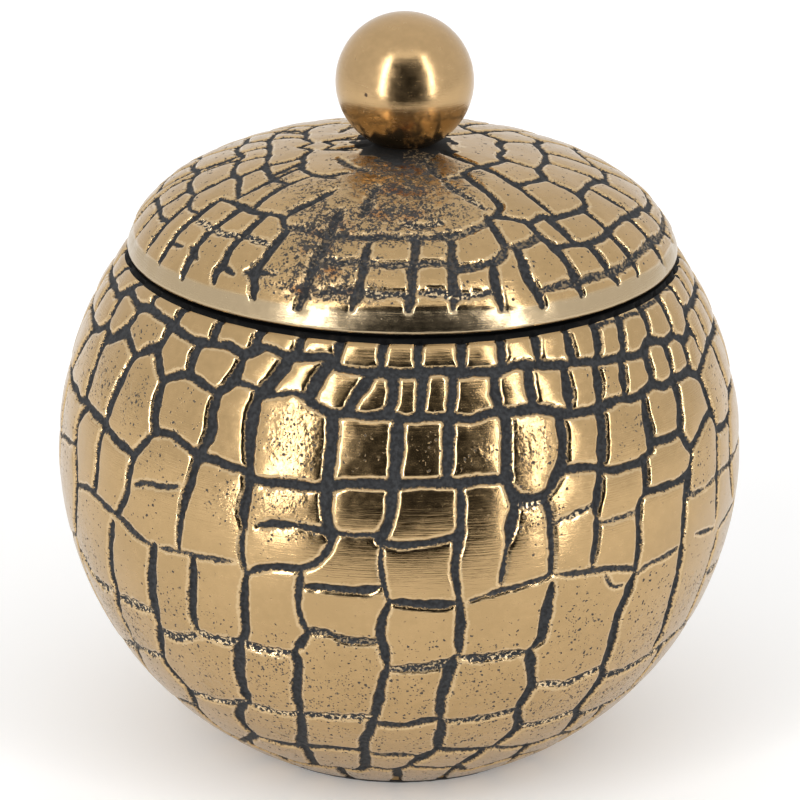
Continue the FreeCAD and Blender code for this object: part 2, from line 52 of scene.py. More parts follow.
ball_radius = 0.100
foot_radius = 0.049
body_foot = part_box("jar_body")[0].z
neck_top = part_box("jar_body")[1].z
ball_centre = body_foot + sqrt(ball_radius**2 - foot_radius**2)
shoulder_rise = 0.0596
shoulder_radius = sqrt(ball_radius**2 - shoulder_rise**2)
neck_radius = shoulder_radius - 0.0038
mouth_radius = neck_radius - 0.003
lip_under = neck_top - 0.007
inner_radius = ball_radius - 0.005
jar_floor = body_foot + 0.006
foot_latitude = -degrees(asin((ball_centre - body_foot) / ball_radius))
shoulder_latitude = degrees(asin(shoulder_rise / ball_radius))

# One groove of the scales a line: width in mm, how far it is broken up by rough casting from 0 to 1,
# then points as longitude and latitude in degrees. Longitude 0 is the front, and + is to the right.
jar_grooves = [
    # short dividers of the top row, which run out over the mouth's edge
    (2.6, 0, (-76, 38.2), (-77.5, 36), (-79.5, 33)),
    (2.6, 0, (-65, 38), (-67.5, 35.8), (-69.5, 33.8)),
    (2.6, 0, (-57.8, 38), (-58.3, 36), (-58, 34)),
    (2.8, 0, (-46.5, 37.8), (-48.3, 36), (-48.8, 33.2)),
    (2.6, 0, (-37.5, 37.4), (-38, 35.5), (-37.8, 32.6)),
    (2.8, 0, (-27.6, 37.4), (-28.3, 35.2), (-28.6, 32.8)),
    (2.4, 0, (-19.3, 37.4), (-19.5, 34.8), (-19.8, 33)),
    (2.6, 0, (-11.6, 37.4), (-11.8, 34.5), (-12, 32.5)),
    (2.4, 0, (-2.9, 37.4), (-3.5, 34.5), (-3.3, 32)),
    (2.4, 0, (3.9, 37.4), (3.2, 34.5), (3.2, 32)),
    (2.6, 0, (12, 37.4), (11.4, 34), (11.3, 32)),
    (2.4, 0, (19.8, 37.4), (19.2, 34), (18.9, 31.8)),
    (2.6, 0, (27, 37.4), (26.5, 34), (26.2, 31.8)),
    (2.6, 0, (34, 37.4), (33.6, 34), (33.2, 31)),
    (2.6, 0, (41, 37.2), (40.3, 33.5), (38.8, 30.6)),
    (2.4, 0, (48.3, 37.2), (47, 33.5), (45.3, 30.2)),
    (2.4, 0, (55.5, 37.2), (55, 33.5), (53.8, 30.8)),
    (2.4, 0, (63.3, 37.2), (62.7, 33.5), (61.8, 30)),
    (2.4, 0, (71, 37.4), (70.5, 34), (70.3, 31.5)),
    (2.4, 0, (78, 37.4), (77.5, 34), (76.8, 31.3)),
    (2.4, 0, (84, 37.4), (84, 33.5), (83.5, 31)),
    (1.4, 0.3, (41, 35.8), (45, 35.8), (47.5, 35.3)),
    (1.4, 0.3, (48.5, 35.6), (51, 35.7), (54, 35.2)),
    (1.4, 0.3, (56, 35.8), (59, 35.8), (62, 35.7)),
    (1.4, 0.3, (63.5, 36.3), (66, 36.5), (69, 35.9)),
    # first line round, under the top row
    (2.4, 0, (-90, 32), (-80, 32.2), (-76, 32.4), (-73, 32), (-70, 33.5), (-67, 34), (-64, 33.4),
     (-61, 33.2), (-58, 33.8), (-54, 33.6), (-50, 33.2), (-46, 32.5), (-42, 32.1), (-38, 32.3),
     (-34, 32.7), (-30.5, 32.1), (-28, 32.9), (-26, 33.8), (-22.5, 33.2), (-19.8, 33), (-16, 33.4),
     (-13.2, 33.6), (-11.5, 32.2), (-8, 31.7), (-4, 31.8), (0, 31.6), (4, 31.9), (8, 31.9),
     (13, 31.5), (18, 31.4), (22, 32), (26, 31.5), (31, 31), (35, 30.7), (39, 30.2), (43, 29.9),
     (46, 29.6), (48, 29.3), (51, 29.6), (53, 30.5), (55, 30.2), (58, 29.3), (61, 29.6), (63, 28.4),
     (65, 27.8), (68, 28.8), (70, 30.9), (73, 31.2), (76, 31), (90, 31)),
    # dividers of the second row
    (3.0, 0, (-80, 32), (-80.5, 28.5), (-80, 25.5)),
    (3.0, 0, (-70.3, 33.5), (-70.4, 30), (-70, 27.5)),
    (3.0, 0, (-61, 33), (-61.5, 30.5), (-63.5, 28), (-66, 26.2)),
    (3.0, 0, (-49.3, 33), (-50, 29.5), (-53, 27.8), (-55.3, 26.2)),
    (3.0, 0, (-50, 29.5), (-49.7, 28), (-47.6, 25.6), (-46.2, 24.3)),
    (3.0, 0, (-40.3, 32), (-40.8, 30), (-40.6, 28), (-40.3, 26.6)),
    (3.0, 0, (-30.2, 32), (-30.3, 29.5), (-31.2, 27.3), (-33.2, 25.2)),
    (3.5, 0, (-20.5, 33), (-22.3, 30), (-24, 27.5), (-25.3, 26)),
    (3.5, 0, (-12.8, 33), (-14.3, 30.8), (-15.4, 28.5), (-15.8, 26.2)),
    (3.0, 0, (-5, 31.3), (-7.2, 28.5), (-8.5, 26.5), (-9.3, 25.2)),
    (2.8, 0, (-1.3, 31.5), (-1.2, 28), (-2, 25.2)),
    (2.8, 0, (4.3, 31.6), (3.8, 28), (3.3, 25)),
    (2.8, 0, (9.6, 31.6), (9.2, 28), (8.6, 25)),
    (3.0, 0, (17.3, 31.3), (16.9, 28), (17.6, 25.2)),
    (2.8, 0, (24, 31.6), (23.6, 28.5), (23.6, 25.3)),
    (3.0, 0, (31, 30.8), (30.8, 28), (30.4, 24.5)),
    (3.0, 0, (38, 30), (37.6, 27.5), (36.6, 24)),
    (2.8, 0, (44.5, 29.7), (43.6, 27.5), (42.6, 24.2)),
    (2.8, 0, (51, 29.3), (50.6, 27), (50.4, 24.5)),
    (2.6, 0, (57.3, 29.2), (57.2, 27), (56.6, 24)),
    (2.6, 0, (63.6, 28), (63.3, 26.3), (62.8, 23.6)),
    (2.6, 0, (69, 29), (69.2, 27), (69.2, 24.2)),
    (2.6, 0, (75.8, 30.8), (76, 28), (75.4, 25)),
    (2.6, 0, (83, 31), (83.5, 27), (83, 23.5)),
    # second line round
    (2.4, 0, (-90, 25.5), (-80, 25.2), (-76, 24.9), (-73, 25.4), (-70.3, 27.2), (-68.3, 26.3),
     (-66, 25.8), (-64, 26.8), (-61.5, 28.3), (-59.5, 27.7), (-57, 26.7), (-55.3, 26)),
    (2.4, 0, (-46, 24.2), (-44.5, 25.3), (-42, 26.3), (-40, 26.6), (-37, 25.9), (-34, 25.2),
     (-33.2, 25)),
    (1.5, 0, (-30.8, 27.6), (-27, 27.3), (-24.4, 27)),
    (1.5, 0, (-25.3, 26), (-22, 26.7), (-19, 27.4), (-17, 26.8), (-15.8, 26.2)),
    (2.4, 0, (-15.8, 26.2), (-13, 25.3), (-11.3, 24.7), (-9, 25), (-5.5, 24.8), (-2, 25.2),
     (0.5, 24.5), (4, 24.8), (8.5, 24.7), (12, 24.2), (15, 25), (18, 24.9), (21, 24.9), (24, 24.8),
     (27, 24), (30, 23.2), (33, 23), (37, 23.2), (41, 23.6), (44, 23), (47, 23.3), (50, 24),
     (53, 23), (56, 23.3), (59, 23), (62, 23), (64.5, 21.6), (67, 22.2), (70, 23), (74, 24),
     (77, 24), (90, 23.5)),
    # dividers of the third row
    (3.2, 0, (-75.5, 24.8), (-77.5, 22), (-79.5, 18.5), (-81, 15)),
    (3.5, 0, (-68.3, 26), (-67.8, 22), (-67.8, 18), (-67.9, 15)),
    (3.2, 0, (-55.8, 26), (-56.8, 22), (-57.8, 18), (-58.2, 14.5)),
    (3.2, 0, (-46, 24.2), (-45.9, 21), (-45.3, 18), (-44.5, 16.3)),
    (3.2, 0, (-33.2, 25), (-33.4, 22), (-33, 19), (-34, 16), (-34.5, 14.8)),
    (3.2, 0, (-25.3, 26), (-25.6, 22), (-25.2, 18), (-24.6, 14.5)),
    (3.5, 0, (-11.4, 24.8), (-11.2, 21), (-11.3, 17), (-11.6, 13.8)),
    (3.5, 0, (-0.3, 24.5), (-0.4, 20), (-0.7, 16), (-1, 14)),
    (3.2, 0, (8.4, 24.6), (8.1, 20), (7.6, 15)),
    (3.2, 0, (18.2, 24.8), (18.1, 21), (17.6, 16), (17.8, 13.5)),
    (3.0, 0, (28, 23.6), (28.1, 20), (27.4, 16.3), (26, 13.8), (24.5, 11.8)),
    (3.2, 0, (36.4, 23.1), (36.1, 20), (35.3, 16.5), (34.6, 13.9)),
    (3.2, 0, (47, 23), (46.3, 20), (46.4, 17), (46, 14)),
    (3.0, 0, (56.3, 23), (56, 20), (55, 17), (54.3, 15)),
    (3.0, 0, (65, 21.3), (65.7, 18), (66.3, 15), (67, 12)),
    (2.8, 0, (77, 23.5), (77, 20), (77.5, 17), (78, 14.5)),
    # third line round
    (2.4, 0, (-90, 14.2), (-81, 14.5), (-77, 14), (-73, 14.3), (-70, 13.8), (-67.8, 14.5),
     (-64, 14), (-61, 13.8), (-58, 13.4), (-56, 12.7), (-53, 12), (-50, 11.5), (-48.8, 11.3)),
    (2.4, 0, (-48.8, 11), (-47, 13.5), (-44.8, 16)),
    (2.4, 0, (-44.5, 16.3), (-41, 16.8), (-38, 16), (-34.5, 14.9), (-31, 14.8), (-28, 14.4),
     (-25, 14.3)),
    (2.6, 0, (-24.6, 13.6), (-22, 13), (-18, 13.3), (-14, 13.2), (-11.6, 13.6), (-8, 14.2),
     (-4, 14.4), (-1, 14.3), (3, 14.6), (7, 14.6), (10, 14.5), (14, 14.7), (17.6, 14.4)),
    (2.4, 0, (17.8, 13), (20, 11.3), (22.5, 11), (24.5, 11.8)),
    (2.4, 0, (26, 14), (28.5, 14.7), (31.5, 14.5), (34.5, 13.9)),
    (2.4, 0, (34.6, 13.6), (37, 13), (40, 12.9), (43, 13), (45.5, 14)),
    (2.4, 0, (46, 15.3), (49, 15), (51.5, 14.8), (54.3, 15.2)),
    (2.4, 0, (54.3, 15), (55.5, 12.5), (57, 11.6), (60, 13), (63, 14.4), (65.5, 14.8)),
    (2.4, 0, (67, 11.5), (70, 10.8), (73, 10.8), (76, 11.5), (78, 13.5), (90, 14)),
    # fourth row: bold at the top, thinning out downwards
    (2.6, 0, (-80, 13.5), (-81, 8), (-80, 3.5)),
    (2.6, 0, (-66, 14), (-68, 12), (-69, 9.5), (-68.3, 6), (-67.3, 3), (-66.8, 0.5), (-67.3, -3),
     (-69, -7), (-70.5, -10)),
    (2.6, 0, (-58.3, 13.5), (-59.2, 10), (-58.9, 7), (-59, 4), (-59.3, 1.5)),
    (2.4, 0, (-48.8, 11), (-49.3, 8), (-49.5, 5), (-50.5, 2.5), (-52, 0.2)),
    (2.8, 0, (-34.5, 14.8), (-35.2, 11), (-36, 8), (-36.6, 4.8)),
    (1.6, 0, (-36.6, 4.8), (-36.8, 2), (-36.9, -0.8)),
    (3.0, 0, (-24.6, 14.3), (-24.6, 11), (-25.1, 8), (-24.8, 5.5)),
    (1.4, 0, (-24.8, 5.5), (-25, 2), (-24.6, -1), (-24.2, -2.5)),
    (3.3, 0, (-11.6, 13.6), (-11.5, 10), (-10.9, 7.3), (-10.3, 5.8)),
    (1.8, 0, (-10.2, 5.6), (-10.8, 3.8), (-11.9, 2), (-13.8, 0.6), (-16, 0), (-19, -0.2), (-22, -1),
     (-23.8, -2.2)),
    (3.2, 0, (-1.1, 14), (-1.2, 10), (-2, 7.3), (-2.7, 5.4)),
    (1.6, 0, (-2.6, 4.5), (-2.6, 1.5), (-2, -2), (-1.2, -4.8)),
    (2.4, 0, (9.7, 14.3), (9.9, 10), (9.7, 6.5), (9.1, 3.5), (9, 0), (9.6, -4)),
    (2.8, 0, (17.8, 13), (18.7, 10.3), (18, 7.5), (17.5, 4.8)),
    (1.4, 0, (17.4, 4.6), (16.8, 2), (16.2, -2)),
    (1.8, 0, (23.5, 11), (24.4, 8.5), (24.6, 5), (24.7, 2), (24.5, -1.5)),
    (2.8, 0, (34.6, 13.6), (33.7, 10.5), (33, 7)),
    (1.7, 0, (33, 7), (32.9, 3.5), (32.3, 0), (32.1, -2)),
    (2.6, 0, (44, 13), (43.8, 10.5), (43.6, 8)),
    (1.9, 0, (43.6, 8), (42, 6.3), (41.6, 4), (41.6, 0), (41.2, -4.5)),
    (2.2, 0, (57, 11.4), (55.5, 8.5), (53.7, 5), (53.2, 2), (52.8, -3)),
    (1.4, 0, (55.6, 8), (55, 4.6)),
    (1.8, 0, (67, 11.6), (66, 8.5), (65.2, 5), (64.6, 1), (64.8, -3)),
    (2.4, 0, (75, 11), (73.8, 8.5), (72.8, 5.5), (72.4, 3), (73.2, 0), (75, -3)),
    # fourth line round, thin and often broken off
    (1.3, 0.3, (-90, 3), (-81, 3.5), (-77, 5), (-73, 5.6), (-69.5, 6.3)),
    (1.5, 0.2, (-47.3, 6.8), (-45, 7.8), (-41, 8.3), (-37.5, 9.2)),
    (1.8, 0, (-22.3, 6), (-19, 6.8), (-15, 6.8), (-12, 6.3), (-10.8, 6)),
    (1.6, 0, (-10, 6.3), (-7, 6.2), (-4, 6.3), (-2.7, 5.4)),
    (2.2, 0, (-2.7, 5.4), (0, 4.9), (4, 5.1), (7, 5.6), (9.6, 6.3)),
    (1.6, 0.7, (18.7, 10.3), (21, 10), (23.5, 10.6)),
    (1.3, 0.5, (25, 6.6), (27.5, 7.1), (30, 7.7), (32.7, 8.2)),
    (1.0, 0.4, (33.4, 5), (36, 5.1), (39, 5.2), (41.6, 5.3)),
    (2.2, 0, (43.6, 8), (46, 7.6), (49, 7.5), (52, 7.3), (55.3, 8)),
    (1.1, 0.4, (54, 4.2), (57, 3.9), (60, 3.8), (64.9, 4.2), (72.5, 4), (90, 4)),
    # fifth line round
    (1.5, 0.2, (-66.8, 0.2), (-64, 1), (-61, 1.5), (-58, 1.2), (-55, 0.7), (-52, 0.4)),
    (1.8, 0.2, (-52, 0.3), (-49, -0.5), (-46.5, -1.5), (-43.5, -2)),
    (1.2, 0.3, (-41, -2), (-38, -1.5), (-34, -1.3), (-30, -1), (-26.5, -0.7)),
    (2.2, 0, (-14.3, -2.9), (-11, -2.7), (-7, -2.9), (-4.5, -2.7), (-2.8, -2.1)),
    (2.4, 0, (-1, -4.6), (2, -4.8), (5, -5.1), (9, -5)),
    (1.4, 0.2, (11.3, -4.7), (15, -3.6), (19, -2.9), (24, -2)),
    (1.5, 0.2, (25, -1.7), (28, -2.2), (32, -2.6), (36, -3), (41, -4.5)),
    (1.3, 0.3, (42, -5.3), (44, -4.5), (47, -4.4), (51.3, -3.9)),
    (1.0, 0.3, (57, -3.2), (60, -3.9), (64, -4.8)),
    (1.2, 0.3, (67, -5.8), (70, -5.5), (75, -5.2), (90, -5)),
    # bold dividers of the fifth and sixth rows
    (2.4, 0, (-80, 3.5), (-82, -5), (-81, -13)),
    (2.8, 0, (-53, -1.5), (-54, -5), (-55, -9), (-55.4, -12), (-55, -14.5)),
    (2.6, 0, (-55, -14.5), (-56.3, -17.5), (-57.2, -20)),
    (1.8, 0.8, (-56.8, -20), (-56.4, -22.5), (-56.6, -25.5)),
    (3.4, 0, (-42.3, -2), (-43, -5), (-43.8, -9), (-44.2, -13), (-44.3, -17)),
    (2.6, 0, (-44.3, -17), (-45, -20), (-46, -22.5), (-46.8, -25)),
    (2.6, 0, (-34.2, -2), (-34.2, -5), (-34.8, -9), (-35.3, -12.5), (-34.9, -15.3)),
    (2.6, 0, (-24.3, -3), (-24.8, -6), (-25, -10), (-25.3, -13.5), (-26.5, -15.5)),
    (3.4, 0, (-26.6, -15.5), (-27.2, -18.5), (-28, -22), (-28.2, -26), (-28.3, -29.5)),
    (2.0, 0, (-15.1, -0.8), (-15.5, -4), (-15.6, -7), (-15, -9.5), (-14.3, -11)),
    (2.4, 0, (-14.3, -11.3), (-15.5, -13.5), (-16.8, -15.3)),
    (2.8, 0, (-16.8, -15.6), (-16.4, -18), (-17, -21.5), (-17.6, -25), (-17.7, -29.5)),
    (2.6, 0, (-1.3, -5), (-2.3, -8), (-2.5, -11), (-1.8, -14), (-1.3, -17)),
    (2.8, 0, (-1.4, -17.5), (-2.2, -20), (-2.8, -23.5), (-3.3, -26.5), (-4, -29.5)),
    (2.8, 0, (9.8, -4.5), (10.1, -8), (10, -11), (10.2, -14.5)),
    (3.2, 0, (9.5, -15), (8.8, -18), (8.3, -21.5), (7.9, -25), (8.3, -29)),
    (3.0, 0, (25, -3.5), (24.6, -6.5), (24.3, -10), (24.2, -13), (22.8, -15)),
    (3.0, 0, (22.3, -15.3), (22.9, -18), (23.6, -21), (24.3, -23.5), (23.7, -26), (23, -29)),
    (3.0, 0, (41, -6), (40, -9), (39, -12), (38.9, -15), (39.2, -18.5), (39.3, -22.5)),
    (2.8, 0, (52.9, -3), (53, -8), (52.9, -13), (53.2, -17), (53.8, -20.5), (53.5, -24.3)),
    (2.2, 0, (66.5, -6.3), (66.2, -9), (65.3, -13), (65, -17), (65.2, -21), (65.3, -24)),
    (2.2, 0, (-70.5, -10), (-71, -17), (-69, -24), (-68, -31)),
    (2.2, 0, (78, -5), (79, -12), (78, -20), (78, -27)),
    # sixth line round, rough from the sand
    (1.5, 0.5, (-70.3, -10), (-74, -11.5), (-79, -13.5), (-90, -15)),
    (2.4, 0.8, (-70, -13), (-67, -14.3), (-64, -15.7), (-60.5, -16), (-57, -15.2)),
    (2.4, 0.8, (-54.5, -15.8), (-51, -15.3), (-48, -15.3), (-45, -14.8)),
    (2.4, 0.7, (-44, -18.3), (-41, -18.6), (-38, -17.8), (-35.5, -16.5)),
    (2.2, 0.8, (-35, -15.6), (-31, -16), (-27, -15.6)),
    (2.4, 0.7, (-26, -15.5), (-22, -16), (-18, -15.7)),
    (2.2, 0.4, (-14.3, -10.8), (-11, -11), (-8, -11.9), (-5, -12), (-3, -12)),
    (2.8, 0.5, (-1, -17.3), (2, -17.2), (5, -17), (8.8, -15.8)),
    (2.4, 0.6, (10.3, -15.2), (14, -15.7), (18, -15.6), (22, -15.5)),
    (1.0, 0.2, (34.8, -4), (35.7, -5.5), (37, -6.5), (38.5, -6.7)),
    (2.0, 0.7, (66, -14), (72, -15), (80, -15), (90, -15)),
    # seventh line round
    (2.2, 0.7, (-90, -30), (-79, -31), (-69, -31.5), (-64, -29.5), (-60, -28), (-56.5, -26.7),
     (-53, -26.3), (-50, -26), (-47, -25)),
    (2.2, 0.7, (-44.3, -32.6), (-41, -32.4), (-38, -32.2), (-34, -31.6), (-31, -30.6), (-28.5, -30)),
    (2.2, 0.7, (-28, -30), (-25, -30.4), (-21, -30.6), (-18, -30)),
    (2.2, 0.7, (-17.5, -30), (-14, -29.6), (-10, -29.4), (-6, -29), (-4.3, -29.3)),
    (2.6, 0.2, (-4, -30.5), (-1, -31), (2, -31), (5, -30), (8.2, -29.6)),
    (2.2, 0.5, (8.6, -29.8), (12, -30.2), (16, -30), (20, -29.5), (22.8, -28.8)),
    (2.2, 0.7, (24.5, -23.3), (28, -23.8), (31.5, -24.6), (35, -23.8), (38.8, -23.2)),
    (2.2, 0.6, (40, -25.5), (44, -26.3), (49, -26.2), (53.5, -25.7), (58, -25), (63, -24.4),
     (66, -24.5), (70, -26), (80, -27), (90, -27)),
    # dividers of the seventh row
    (3.0, 0, (-47, -25.3), (-47, -27), (-45.5, -30), (-44.3, -32.3), (-45.2, -35.5), (-46.8, -38)),
    (3.0, 0, (-46.8, -38.3), (-47.2, -41), (-46.5, -43.5), (-46, -46)),
    (2.2, 0, (-57.5, -28), (-59.5, -31), (-61, -34), (-62, -42)),
    (2.2, 0, (-77, -31), (-76, -36), (-74, -42)),
    (3.0, 0, (-29.5, -30.5), (-31.5, -33), (-33, -36), (-33, -38.5), (-32, -41)),
    (3.0, 0, (-17.8, -30), (-18.3, -33), (-19, -36.5), (-20, -39.5), (-20.5, -41.5)),
    (3.0, 0, (-4, -29.8), (-4.8, -33), (-6, -36), (-6.5, -39.5), (-6.4, -41)),
    (3.0, 0, (8.5, -29.5), (8.8, -33), (8.7, -36.5), (8.8, -39)),
    (3.0, 0, (23, -29), (23.7, -31.5), (24.6, -33.5), (24.5, -36), (23, -38.5), (21.7, -40.3)),
    (3.0, 0, (39, -23), (40, -25.5), (39.7, -28.5), (38.6, -32), (38.5, -34), (40, -36.5),
     (40.7, -39), (40, -42.5)),
    (2.2, 0, (57, -25.5), (57.8, -28), (57.5, -31), (56.5, -34.5), (57.5, -37)),
    (2.2, 0, (74, -26.5), (74.5, -31), (73, -37.5)),
    # eighth line round
    (2.0, 0.7, (24.8, -34.3), (28, -34.8), (32, -34.6), (36, -34.2), (38.5, -34)),
    (1.8, 0.6, (40, -36), (44, -36.4), (48, -36.5), (52, -36.7), (56, -36), (66, -38), (78, -37),
     (90, -37)),
    (2.2, 0.4, (-90, -41), (-74, -42), (-62, -43), (-57, -40.8), (-52, -39), (-47, -38.2)),
    (3.0, 0, (-32, -41.2), (-34.5, -43.5), (-37, -45.3), (-40, -47.5), (-46, -46)),
    (2.6, 0.2, (-32, -41.5), (-28, -41.7), (-24, -41.7), (-20.7, -41)),
    (2.4, 0.2, (-20, -41.5), (-17.5, -40.5), (-13, -40), (-9, -39.9), (-6.5, -40)),
    (2.0, 0.3, (-5.5, -40.2), (-3, -41.3), (0, -41), (3, -41.3), (5, -41.6)),
    (3.2, 0, (8.8, -39.3), (6.8, -41.7), (4.8, -44), (3.5, -46.2)),
    (2.6, 0.2, (8.8, -39.3), (12, -40), (16, -40.5), (19.5, -40.7), (21.7, -40.6)),
    (2.2, 0.3, (21.7, -40.6), (25, -42.2), (29, -42.8), (34, -43.3), (40, -42.8), (46, -44.5),
     (60, -46), (90, -46)),
    # dividers and last line above the foot
    (3.2, 0, (-20.6, -41.6), (-20, -43.5), (-20.5, -46), (-21, -48.5), (-20.5, -50.5)),
    (3.2, 0, (-6.4, -41), (-6.5, -43.5), (-7, -46), (-7.5, -48.5), (-9.3, -50.5)),
    (3.2, 0, (19.8, -41), (18.8, -43), (17.3, -45.5), (15.6, -48)),
    (3.2, 0, (31.3, -43.3), (31.5, -45.5), (30.8, -49)),
    (2.6, 0, (48, -37), (49, -41), (47, -44.5), (46, -51)),
    (2.6, 0, (64, -38), (65, -42), (66, -46), (65, -53)),
    (2.6, 0, (-61, -43), (-61, -47), (-60, -52)),
    (2.6, 0, (-76, -42), (-77, -47), (-76, -52)),
    (2.4, 0.2, (-9.3, -50.5), (-7.5, -48.7), (-5.5, -47.7), (-2, -48.7), (1, -48), (3.3, -46.5)),
    (2.4, 0.2, (3.5, -46.5), (7, -47.5), (11, -48.3), (15.3, -48.3)),
    (2.4, 0.2, (15.4, -48.3), (17.5, -50.3), (20, -52), (31, -49), (45, -51), (65, -53), (90, -52)),
    (2.4, 0.2, (-9.3, -50.5), (-14, -50), (-20.5, -50.8), (-27, -51.5), (-40, -47.5)),
    (2.4, 0.2, (-40, -47.5), (-47, -51), (-60, -52), (-90, -52)),
    (2.6, 0, (-70, -52), (-69, -57), (-68, -63)),
    (2.6, 0, (-50, -51.5), (-49, -57), (-48, -63)),
    (2.6, 0, (-32, -51), (-31, -57), (-30, -63)),
    (2.6, 0, (-14, -50), (-15, -56), (-14, -63)),
    (2.6, 0, (0.5, -48.2), (1, -55), (0, -63)),
    (2.6, 0, (15.6, -48.5), (15, -55), (16, -63)),
    (2.6, 0, (33, -49), (34, -56), (33, -63)),
    (2.6, 0, (54, -52), (53, -57), (54, -63)),
    (2.6, 0, (75, -52.5), (74, -57), (74, -63)),
]

# More grooves at the jar's two sides, where the front half meets its mirror image.
jar_sides = [
    (2.6, 0, (89, 37.3), (92, 34), (91, 31)), (2.6, 0, (88, 31), (91, 28), (90, 23.6)),
    (2.8, 0, (86, 23.5), (88, 19), (86, 14.2)), (2.6, 0, (97, 23.5), (95, 19), (97, 14.3)),
    (2.2, 0, (92, 14), (90, 9), (91, 4)), (1.8, 0, (84, 4), (85, 0), (83, -5)),
    (2.2, 0, (96, 4), (95, 0), (97, -5)),
    (2.4, 0, (90, -5), (89, -10), (91, -15)), (2.4, 0, (86, -15), (88, -21), (86, -27)),
    (2.4, 0, (95, -15), (94, -21), (96, -27)), (2.2, 0, (91, -27), (89, -32), (90, -37)),
    (2.4, 0, (85, -37), (86, -42), (84, -46)), (2.4, 0, (95, -37), (94, -41), (96, -46)),
    (2.4, 0, (90, -46), (91, -49), (90, -52)),
    (2.6, 0, (-90, 37.3), (-87, 34.5), (-88, 32)), (2.8, 0, (-91, 32), (-89, 28.5), (-91, 25.5)),
    (2.8, 0, (-88, 25.5), (-90, 20), (-87, 14.2)), (2.4, 0, (-92, 14.2), (-89, 8.5), (-91, 3)),
    (2.2, 0, (-87, 3), (-90, -3), (-88, -9), (-90, -15)), (2.4, 0, (-94, -15), (-91, -22), (-93, -30)),
    (2.4, 0, (-86, -14.5), (-85, -22), (-87, -30.3)), (2.4, 0, (-90, -30), (-92, -36), (-89, -41)),
    (2.4, 0, (-87, -41), (-89, -46), (-86, -52)),
]

# Scales whose face is pitted by the sand: longitude, latitude, reach in degrees, and how badly.
jar_pitted = [
    (-18, 20, 6, 1.0), (-18, 10, 6, 1.0), (-28, 8.5, 4, 0.9), (23, 20, 5, 1.0), (13, 20, 4, 0.7),
    (-62, 20, 6, 0.9), (-51, 20, 5, 0.9), (-39, 20, 5, 0.4), (-42, 12, 5, 0.5), (-72, 20, 6, 0.8),
    (-55, 29, 4, 0.5), (22, 9, 5, 0.9), (42, 19, 5, 0.5), (-52, -20, 8, 0.9), (-38, -12, 7, 0.7),
    (-22, -22, 8, 1.0), (-10, -24, 8, 1.0), (3, -25, 7, 0.9), (16, -21, 9, 0.9), (30, -12, 7, 0.7),
    (46, -18, 9, 0.8), (32, -30, 8, 1.0), (-35, -26, 7, 0.9), (-8, -35, 8, 0.8), (15, -35, 8, 0.8),
    (46, -32, 8, 0.9), (-60, -22, 8, 0.9), (-46, 2, 6, 0.3), (10, -38, 10, 0.7), (-20, -36, 8, 0.8),
    (60, -14, 8, 0.6), (-64, -8, 8, 0.5), (60, 8, 6, 0.4), (-80, 6, 7, 0.6), (72, 18, 6, 0.5),
    (38, 27, 4, 0.4), (5, 20, 4, 0.35), (-6, 20, 4, 0.3),
]


def soft_noise(spots, lump, seed):
    """Smooth noise from 0 to 1 at points in metres, in lumps of about the size given."""
    cell = np.floor(spots / lump).astype(np.int64)
    part = spots / lump - cell
    part = part * part * (3 - 2 * part)
    total = np.zeros(spots.shape[:-1])
    for corner in np.ndindex(2, 2, 2):
        at = cell + corner
        mixed = at[..., 0] * 73856093 ^ at[..., 1] * 19349663 ^ at[..., 2] * 83492791 ^ seed * 2654435761
        mixed = (mixed ^ (mixed >> 13)) * 1274126177
        value = ((mixed ^ (mixed >> 16)) & 0xFFFF) / 65535
        share = np.where(corner, part, 1 - part).prod(-1)
        total += value * share
    return total


def smooth_step(value, low, high):
    part = np.clip((value - low) / (high - low), 0, 1)
    return part * part * (3 - 2 * part)


def smooth_line(points, step):
    """Points about a step apart on a smooth curve through the groove's own points."""
    points = np.array(points, float)
    ends = np.vstack([2 * points[0] - points[1], points, 2 * points[-1] - points[-2]])
    found = []
    for a, b, c, d in zip(ends, ends[1:], ends[2:], ends[3:]):
        count = max(1, int(np.ceil(np.hypot(*(c - b)) / step)))
        t = np.arange(count)[:, None] / count
        found.append(b + 0.5 * t * (c - a + t * (2 * a - 5 * b + 4 * c - d + t * (3 * b - a - 3 * c + d))))
    return np.vstack(found + [points[-1:]])


